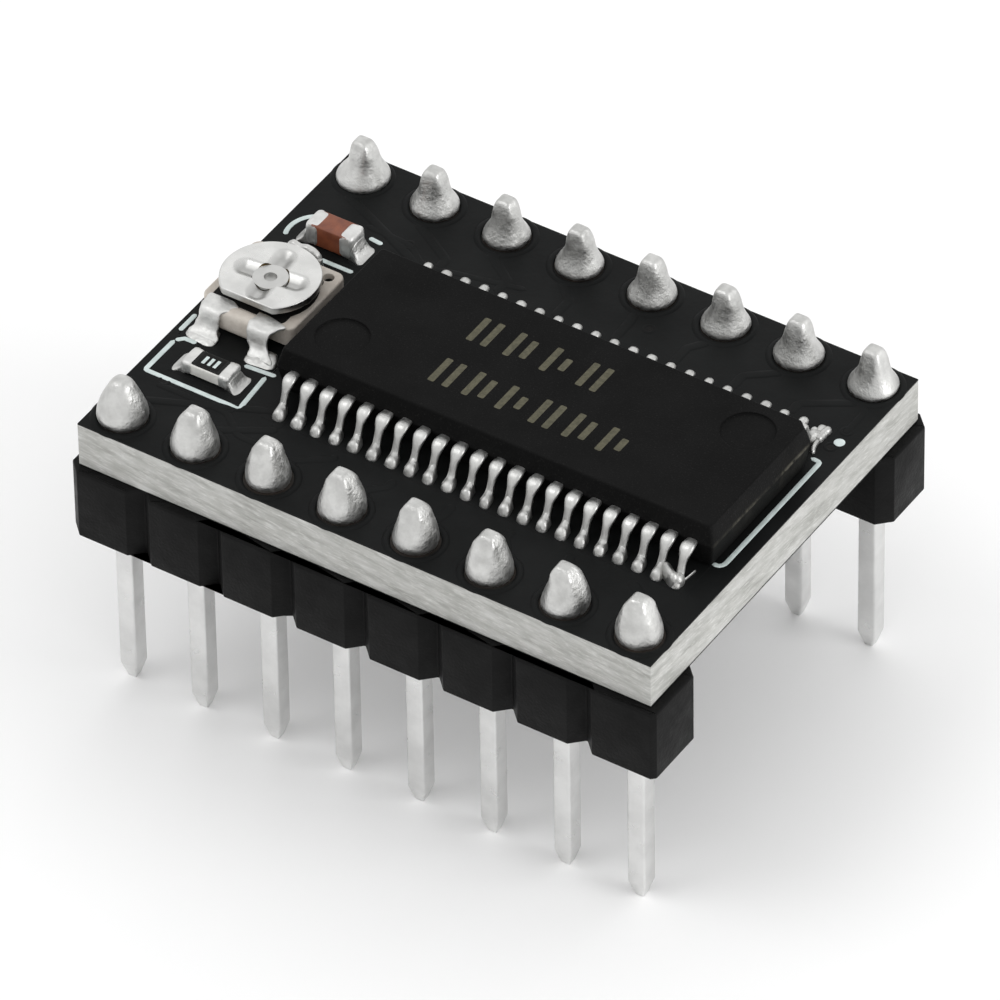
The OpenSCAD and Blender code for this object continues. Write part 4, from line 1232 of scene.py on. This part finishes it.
@dataclass
class Trimmer:
    """Open trimmer: ceramic base, folded clips, hollow rivet and a turning steel disc."""

    # How far the tile's nose stands out in front, its two ends in X, its middle in Y and Z, and its
    # half width and half height.
    nose: float = 0.4
    nose_ends: tuple = (-0.66, 0.46)
    nose_at: tuple = (-1.5, 0.46)
    nose_half: tuple = (0.27, 0.38)
    tile_high: float = 0.75
    pit_at: tuple = (1.18, 1.28)
    pit_r: float = 0.17
    # Corners of the near-black sheet on the tile: the track, widened to paint the shade under the disc.
    track_and_shade_corners: tuple = ((-1.32, -1.24), (1.22, 1.12))
    # Height of the disc's lower and upper face, and the turned edge's radius.
    disc_span: tuple = (1.0, 1.25)
    lap: float = 0.04
    # The disc's radius, its flat's distance from the axis, and its bore's radius.
    disc_r: float = 1.525
    flat: float = 1.24
    bore: float = 0.56
    # The cross: turn in degrees, length and half width of an arm, softness and depth (against the
    # disc's thickness) of its walls.
    cross_turn: float = 6.0
    arm: float = 0.86
    arm_half: float = 0.23
    soft: float = 0.19
    sunk: float = 0.72
    # The pad below the disc: radius, half width, half thickness, first and last angle.
    pad: tuple = (1.38, 0.12, 0.055, 66, 114)
    # The rivet's rim: radius, height.
    rim: tuple = ((0.53, 1.06), (0.535, 1.09), (0.5, 1.135), (0.42, 1.165), (0.34, 1.17), (0.27, 1.15),
                  (0.22, 1.1), (0.195, 1.0), (0.19, 0.8), (0.1, 0.78))
    # Solder in front of a clip: Y, height, share of the clip's half width. Then each clip's X and
    # half width.
    clip_solder: tuple = ((-1.78, 0.1, 0.7), (-1.95, 0.2, 0.85), (-2.1, 0.17, 1.0), (-2.25, 0.12, 1.06),
                          (-2.38, 0.06, 1.0), (-2.46, 0.015, 0.7))
    clip_feet: tuple = ((-0.95, 0.5), (1.06, 0.48))
    # Solder behind the collector: X, Y, half width, height.
    collector_solder: tuple = ((-0.72, 1.74, 0.1, 0.2), (-0.62, 1.76, 0.17, 0.95),
                               (-0.38, 1.77, 0.2, 1.16), (-0.15, 1.76, 0.2, 1.08),
                               (0.1, 1.77, 0.2, 1.17), (0.34, 1.78, 0.2, 1.12),
                               (0.55, 1.76, 0.18, 1.0), (0.68, 1.74, 0.1, 0.2))
    # Stations of a clip: Y, height, left edge, right edge, half thickness.
    left_clip: tuple = ((-1.14, 0.8, -1.34, -0.5, 0.035), (-1.22, 0.805, -1.38, -0.4, 0.04),
                        (-1.34, 0.81, -1.37, -0.3, 0.04), (-1.5, 0.815, -1.33, -0.34, 0.045),
                        (-1.68, 0.81, -1.32, -0.5, 0.055), (-1.8, 0.74, -1.32, -0.58, 0.065),
                        (-1.88, 0.55, -1.28, -0.6, 0.06), (-1.93, 0.35, -1.3, -0.58, 0.06),
                        (-2.0, 0.22, -1.4, -0.56, 0.06), (-2.14, 0.12, -1.47, -0.46, 0.055),
                        (-2.3, 0.06, -1.42, -0.42, 0.05))
    right_clip: tuple = ((-1.14, 0.8, 0.34, 0.8, 0.035), (-1.22, 0.805, 0.34, 1.0, 0.04),
                         (-1.32, 0.81, 0.34, 1.38, 0.04), (-1.46, 0.815, 0.34, 1.44, 0.045),
                         (-1.6, 0.815, 0.32, 1.22, 0.055), (-1.8, 0.74, 0.34, 1.16, 0.065),
                         (-1.88, 0.55, 0.4, 1.1, 0.06), (-1.93, 0.35, 0.46, 1.12, 0.06),
                         (-2.0, 0.22, 0.52, 1.26, 0.06), (-2.14, 0.12, 0.6, 1.42, 0.055),
                         (-2.3, 0.06, 0.68, 1.54, 0.05))

    def __post_init__(self) -> None:
        """Reads the axis and the base's box."""
        low, high = box_mm("trimmer_wiper")
        self.axis = np.array([(low[0] + high[0]) / 2, 0.0])
        self.base_low, self.base_high = box_mm("trimmer_base")

    def build(self) -> None:
        """Adds the base, the clips, the rivet's rim, the solder and the disc."""
        self._base()
        self._clip("left", self.left_clip)
        self._clip("right", self.right_clip)
        self._rivet()
        self._solder()
        self._disc()

    def _lift(self, grid: np.ndarray) -> np.ndarray:
        """Moves points given from the axis and the board's top to their place."""
        return grid + np.array([*self.axis, BOARD_TOP])

    def _base(self) -> None:
        """Pressed ceramic tile with soft corners and a blind hole, and its rounded front nose; on it, the
        track widened into painted shade under the disc, and painted shade in the hole.
        """
        low = self.base_low[:2] + (0, self.nose)
        outline = rounded_outline(box_corners(low, self.base_high[:2]), 0.3, 6)
        top = BOARD_TOP + self.tile_high
        rings = slab(outline, self.base_low[2], top, 0.06)
        shell = Shell().add(rings, caps=False)
        shell.add_fill(rings[0])
        pit_at = self.axis + self.pit_at
        hole = drill(shell, circle(pit_at, self.pit_r, 28), top, top - 0.25, 0.03)
        shell.add_fill(rings[-1], hole)
        x = np.linspace(*self.nose_ends, 12)
        y, z = self.nose_at
        centre = self._lift(np.column_stack([x, y + 0 * x, z + 0 * x]))
        wide, high = (half + 0 * x for half in self.nose_half)
        shell.add(ribbon(centre, ACROSS, wide, high, 28, 3.6))
        tile = shell.build("trimmer_tile", KIT.steatite, weld=True, sharp=45)
        place(tile, KIT.steatite, ["trimmer_base"])
        # Painted shade in the hole: a near-black disc near its floor.
        pit_shade = revolve([(0.16, top - 0.2), (0.16, top - 0.19), (0.05, top - 0.195)], pit_at, 28)
        place(Shell().add(pit_shade).build("tile_pit_shade", KIT.track), KIT.track)
        # Painted shade under the disc: the cermet track drawn as a whole near-black plate.
        low, high = (self.axis + corner for corner in self.track_and_shade_corners)
        dark_sheet = slab(rounded_outline(box_corners(low, high), 0.22, 6), top - 0.01, top + 0.012, 0.01)
        place(Shell().add(dark_sheet).build("tile_track_and_shade", KIT.track), KIT.track)

    def _clip(self, side: str, keys: Sequence[Sequence[float]]) -> None:
        """Strip folded over the tile's front edge, its sides uneven from dipping."""
        y, z, left, right, half = flow(keys, 40, 2).T
        path = np.column_stack([0 * y, y, z])
        left = left + 0.045 * ripple(path, 0.3, 3)
        right = right + 0.045 * ripple(path, 0.28, 5)
        centre = self._lift(np.column_stack([(left + right) / 2, y, z]))
        taper = end_taper(centre, 0.06)
        grid = ribbon(centre, ALONG, (right - left) / 2, half * taper, 28, 5)
        grid = grid + (0.018 * ripple(grid, 0.5, 11))[..., None] * np.array([0, -0.6, 0.6])
        node = f"trimmer_terminal_{side}"
        place(Shell().add(grid).build(f"clip_{side}", KIT.dipped, sharp=60), KIT.dipped, [node])

    def _rivet(self) -> None:
        """Rolled rim of the hollow rivet on which the disc turns."""
        rings = revolve([(radius, BOARD_TOP + height) for radius, height in self.rim], self.axis, 48)
        place(Shell().add(rings).build("rivet_rim", KIT.nickel, sharp=60), KIT.nickel)

    def _solder(self) -> None:
        """Solder in front of both clips, and lumps behind the collector."""
        shell = Shell()
        for x, half in self.clip_feet:
            y, height, share = flow(self.clip_solder, 26, 2).T
            path = self._lift(np.column_stack([x + 0.1 * x * (-1.9 - y), y, np.full(len(y), -SUNK)]))
            shell.add(mound(path, half * share, height + SUNK, 25, 3.0))
        x, y, wide, height = flow(self.collector_solder, 34, 2).T
        path = self._lift(np.column_stack([x, y, np.full(len(y), -SUNK)]))
        shell.add(mound(path, wide, height, 21, 3.0))
        place(shell.build("trimmer_joints", KIT.solder, sharp=60), KIT.solder, ["solder_trimmer"])

    def _cross(self, x: np.ndarray, y: np.ndarray) -> np.ndarray:
        """Distance from the cross's edge: that of the nearer of two round-ended arms."""
        turn = math.radians(self.cross_turn)
        along, across = x * math.cos(turn) + y * math.sin(turn), y * math.cos(turn) - x * math.sin(turn)
        reach = [np.hypot(np.maximum(abs(u) - self.arm, 0), v)
                 for u, v in ((along, across), (across, along))]
        return np.minimum(*reach) - self.arm_half

    def _disc(self) -> None:
        """Stamped disc with a flat, a dished driver cross and, below, the stop pad."""
        low, high = (BOARD_TOP + height for height in self.disc_span)
        lap, thick = self.lap, high - low
        angle = np.linspace(0, 2 * math.pi, 144, endpoint=False)[None]
        rim = np.minimum(self.disc_r, self.flat / np.maximum(-np.sin(angle), 1e-3))
        share = np.linspace(0, 1, 40)[:, None]
        edge = np.radians(np.linspace(0, 90, 6))[:, None]
        face_r = self.bore + (rim - lap - self.bore) * share
        edge_r = rim - lap + lap * np.sin(edge)
        edge_z = high - lap + lap * np.cos(edge) + 0 * rim
        radius = np.concatenate([face_r, edge_r[1:], edge_r[::-1], face_r[::-4], face_r[:1]])
        height = np.concatenate([np.full(face_r.shape, high), edge_z[1:], (high + low - edge_z)[::-1],
                                 np.full(face_r[::-4].shape, low), np.full(rim.shape, high)])
        x, y = radius * np.cos(angle), radius * np.sin(angle)
        dish = thick * self.sunk * smooth_step(self.soft, -self.soft, self._cross(x, y))
        # The first rings, and the last one that closes the tube, are the upper face.
        ring = np.arange(len(radius))
        upper = (ring < len(share)) | (ring == ring[-1])
        height = height - np.where(upper[:, None], dish, 0)
        shell = Shell().add(np.stack([x + self.axis[0], y + self.axis[1], height], -1), caps=False)
        pad_r, half, half_thick, first, last = self.pad
        swing = np.radians(np.linspace(first, last, 24))
        outward = np.column_stack([np.cos(swing), np.sin(swing), 0 * swing])
        centre = outward * pad_r + np.array([*self.axis, low - 0.05])
        shell.add(ribbon(centre, outward, np.full(24, half), np.full(24, half_thick), 12, 6))
        piece = shell.build("trimmer_face", KIT.nickel, weld=True, sharp=40)
        place(piece, KIT.nickel, ["trimmer_rotor"], DISC_BODY)


@dataclass
class ChipPart:
    """A two-ended chip part that lies along X: body, end caps and solder.

    Heights are given from the board's face; up is 1 on the upper face and -1 below.
    """

    at: Sequence[float]
    size: Sequence[float]
    reach: float
    up: int = 1
    glazed: bool = False
    # Stations of the solder at an end: distance out, height and width against the part's.
    fillet: tuple = ((-0.1, 0.6, 0.96), (0.03, 0.72, 0.94), (0.08, 0.5, 0.95), (0.14, 0.3, 1.0),
                     (0.22, 0.16, 1.08), (0.3, 0.08, 1.12), (0.37, 0.02, 0.85))

    def _lift(self, grid: np.ndarray) -> np.ndarray:
        """Moves points given from the part's middle to their place on its side of the board."""
        face = BOARD_TOP if self.up > 0 else BOARD_BOTTOM
        return grid * np.array([1, 1, self.up]) + np.array([self.at[0], self.at[1], face])

    def body(self, shell: Shell) -> None:
        """Adds the body: a block with soft edges."""
        half = np.array([self.size[0] / 2 - 0.08, self.size[1] / 2 - 0.025])
        outline = rounded_outline(box_corners(-half, half), 0.07, 4)
        top = self.size[2] - (0.03 if self.glazed else 0.01)
        shell.add(self._lift(slab(outline, 0.04, top, 0.04)))

    def glaze(self, shell: Shell) -> None:
        """Adds the dark glaze on a resistor's top."""
        half = np.array([self.size[0] / 2 - self.reach + 0.02, self.size[1] / 2 - 0.07])
        outline = rounded_outline(box_corners(-half, half), 0.06, 4)
        top = self.size[2] - 0.03
        shell.add(self._lift(slab(outline, top - 0.02, top + 0.035, 0.02)))

    def caps(self, shell: Shell) -> None:
        """Adds both end caps: soft sleeves whose outer end is rounded."""
        length, width, height = self.size
        for end in (-1, 1):
            tip, lip = length / 2, length / 2 - self.reach
            keys = ((lip, 0, 0.93), (lip + 0.03, 0, 1.0), (tip - 0.13, 0, 1.03), (tip - 0.04, 0, 1.0),
                    (tip + 0.01, 0, 0.9), (tip + 0.03, 0, 0.7))
            x, _, swell = flow(keys, 16, 1).T
            wave = 1 + 0.02 * ripple(np.column_stack([x * end, x, x]), 0.3, int(10 * length + end))
            centre = np.column_stack([end * x, 0 * x, np.full(16, height / 2 + 0.012)])
            grid = ribbon(centre, ACROSS, width / 2 * swell * wave, height / 2 * swell, 32, 6.5)
            shell.add(self._lift(grid))

    def solder(self, shell: Shell) -> None:
        """Adds a hollow fillet at each end that spreads over its land."""
        length, width, height = self.size
        for end in (-1, 1):
            out, rise, wide = flow(self.fillet, 24, 1).T
            path = np.column_stack([end * (length / 2 + out), 0 * out, 0 * out - SUNK])
            grid = mound(path, width / 2 * wide, height * rise + SUNK, 21, 3.4)
            grid = grid + (0.012 * ripple(grid, 0.35, 5 + end))[..., None] * np.array([0.5, 1, 0.3])
            shell.add(self._lift(grid))


@dataclass
class ChipParts:
    """The small parts on both faces of the board."""

    capacitor_at: tuple = (-7.88, 3.33)
    resistor_at: tuple = (-7.75, -3.43)
    bypass_at: tuple = ((-7.2, 3.0), (-4.4, 3.0), (-1.6, 3.0), (-7.2, -3.0), (-4.4, -3.0))
    sense_at: tuple = ((5.4, 2.9), (5.4, -2.9))
    # Sizes of the parts in X, Y and Z.
    capacitor_size: tuple = (1.6, 0.8, 0.8)
    resistor_size: tuple = (1.6, 0.8, 0.45)
    sense_size: tuple = (3.2, 1.6, 0.6)
    code_bars: tuple = (-0.2, 0.0, 0.2)
    code_half: tuple = (0.055, 0.17)

    def build(self) -> None:
        """Adds every small part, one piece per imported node."""
        capacitor = [ChipPart(self.capacitor_at, self.capacitor_size, 0.41)]
        resistor = [ChipPart(self.resistor_at, self.resistor_size, 0.32, glazed=True)]
        bypass = [ChipPart(at, self.capacitor_size, 0.32, -1) for at in self.bypass_at]
        sense = [ChipPart(at, self.sense_size, 0.5, -1, True) for at in self.sense_at]
        self._piece("capacitor_block", capacitor, ChipPart.body, KIT.brown, ["capacitor_body"])
        self._piece("capacitor_caps", capacitor, ChipPart.caps, KIT.dipped, ["capacitor_terminals"])
        self._piece("capacitor_joints", capacitor, ChipPart.solder, KIT.solder, ["solder_capacitor"])
        self._piece("resistor_tile", resistor, ChipPart.body, KIT.alumina, ["resistor_substrate"])
        self._piece("resistor_glaze", resistor, ChipPart.glaze, KIT.glaze, ["resistor_overcoat"])
        self._piece("resistor_caps", resistor, ChipPart.caps, KIT.dipped, ["resistor_terminals"])
        self._piece("resistor_joints", resistor, ChipPart.solder, KIT.solder, ["solder_resistor"])
        self._piece("bypass_blocks", bypass, ChipPart.body, KIT.tan, ["bypass_capacitor_bodies"])
        self._piece("bypass_caps", bypass, ChipPart.caps, KIT.dipped, ["bypass_capacitor_terminals"])
        self._piece("sense_tiles", sense, ChipPart.body, KIT.alumina, ["sense_resistor_substrates"])
        self._piece("sense_glazes", sense, ChipPart.glaze, KIT.glaze, ["sense_resistor_overcoats"])
        self._piece("sense_caps", sense, ChipPart.caps, KIT.dipped, ["sense_resistor_terminals"])
        self._piece("underside_joints", bypass + sense, ChipPart.solder, KIT.solder, ["solder_underside"])
        self._code()

    def _piece(self, name: str, parts: Sequence[ChipPart], work: Callable[[ChipPart, Shell], None],
               finish: Finish, nodes: Sequence[str]) -> None:
        """Makes one piece from the same element of several parts."""
        shell = Shell()
        for part in parts:
            work(part, shell)
        place(shell.build(name, finish, sharp=45), finish, nodes)

    def _code(self) -> None:
        """Three plain printed bars on the resistor in place of its value code."""
        shell = Shell()
        top = BOARD_TOP + self.resistor_size[2] + 0.004
        for x in self.code_bars:
            at = np.array(self.resistor_at) + (x, 0)
            outline = rounded_outline(box_corners(at - self.code_half, at + self.code_half), 0.02, 3)
            shell.add(slab(outline, top, top + 0.008, 0.003, 2))
        place(shell.build("resistor_code", KIT.ink), KIT.ink)


# ------------------------------------------------------------------ studio


@dataclass
class Studio:
    """Pale floor, soft lights and the camera."""

    # Camera: where it looks from, in degrees, how far away it is, and what it sees across.
    azimuth: float = 33.5
    elevation: float = 41.7
    roll: float = -1.0
    distance_mm: float = 355.0
    shift_right_mm: float = 0.045
    shift_up_mm: float = -2.873
    field_mm: float = 29.096
    sensor_mm: float = 36.0
    room: float = 0.92
    floor_half_m: float = 2.0
    # Disk lamps: place and width in metres, power in watts.
    key: tuple = ((-0.16, -0.16, 0.34), 0.2, 0.2)
    right: tuple = ((0.36, 0.06, 0.14), 0.22, 0.48)
    rear: tuple = ((-0.12, 0.3, 0.26), 0.3, 0.06)

    def build(self) -> None:
        """Adds the floor, the lights and the camera."""
        self._camera()
        self._floor()
        self._lights()

    def _camera(self) -> None:
        """Looks at the middle of the board's top from the stated angles, with a long lens."""
        azimuth, elevation, roll = (math.radians(v) for v in (self.azimuth, self.elevation, self.roll))
        back = Vector((math.sin(azimuth) * math.cos(elevation), -math.cos(azimuth) * math.cos(elevation),
                       math.sin(elevation)))
        right = Vector((math.cos(azimuth), math.sin(azimuth), 0))
        up = back.cross(right)
        right, up = (right * math.cos(roll) + up * math.sin(roll),
                     up * math.cos(roll) - right * math.sin(roll))
        low, high = box_mm("solder_mask_top")
        aim = Vector(((low[0] + high[0]) / 2, (low[1] + high[1]) / 2, BOARD_TOP))
        eye = aim + right * self.shift_right_mm + up * self.shift_up_mm + back * self.distance_mm
        data = bpy.data.cameras.new("camera")
        data.sensor_width = self.sensor_mm
        data.lens = self.sensor_mm * self.distance_mm / self.field_mm
        data.clip_start = 0.01
        data.clip_end = 10
        camera = bpy.data.objects.new("camera", data)
        camera.matrix_world = Matrix((
            (right.x, up.x, back.x, eye.x * MM), (right.y, up.y, back.y, eye.y * MM),
            (right.z, up.z, back.z, eye.z * MM), (0, 0, 0, 1)))
        bpy.context.scene.collection.objects.link(camera)
        bpy.context.scene.camera = camera

    def _floor(self) -> None:
        """A large pale sheet on which the pin tips stand."""
        half = self.floor_half_m
        mesh = bpy.data.meshes.new("floor")
        corners = np.array([[-half, -half, 0], [half, -half, 0], [half, half, 0], [-half, half, 0]])
        mesh.from_pydata(corners.tolist(), [], [(0, 1, 2, 3)])
        paper = Finish("studio_paper", "", "fdfdfd", "fbfbfb", patch_mm=60, roughness=0.9,
                       grain_mm=2, grain_depth_mm=0.0)
        mesh.materials.append(paper.material())
        floor = bpy.data.objects.new("floor", mesh)
        bpy.context.scene.collection.objects.link(floor)
        floor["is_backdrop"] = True

    def _lights(self) -> None:
        """A white room, a broad key from the front left, one from the right and one behind."""
        scene = bpy.context.scene
        scene.view_settings.view_transform = "Standard"
        world = bpy.data.worlds.new("studio")
        world.use_nodes = True
        world.node_tree.nodes["Background"].inputs["Color"].default_value = (1, 1, 1, 1)
        world.node_tree.nodes["Background"].inputs["Strength"].default_value = self.room
        scene.world = world
        for name in ("key", "right", "rear"):
            at, size, power = getattr(self, name)
            data = bpy.data.lights.new(name, "AREA")
            data.shape = "DISK"
            data.size = size
            data.energy = power
            lamp = bpy.data.objects.new(name, data)
            lamp.location = at
            lamp.rotation_euler = (-Vector(at)).to_track_quat("-Z", "Y").to_euler()
            scene.collection.objects.link(lamp)


def main() -> None:
    """Builds the module's looks, one sub-assembly after another."""
    logging.basicConfig(level=logging.INFO, format="%(message)s")
    Studio().build()
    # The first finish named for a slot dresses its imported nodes.
    by_slot = {}
    for name in Kit.__dataclass_fields__:
        made = getattr(KIT, name)
        by_slot.setdefault(made.slot, made)
    for part in frame["record"]["subparts"]:
        dress([part["node"]], by_slot[part["material_slot"]])
    for sub_assembly in (Board(), PinHeaders(), PinSolder(), DriverChip(), Trimmer(), ChipParts()):
        sub_assembly.build()
    sizes = {name: [list(corner) for corner in corners]
             for name, corners in (("cad", CAD_BOX), ("visual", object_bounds()))}


if __name__ == "__main__":
    main()
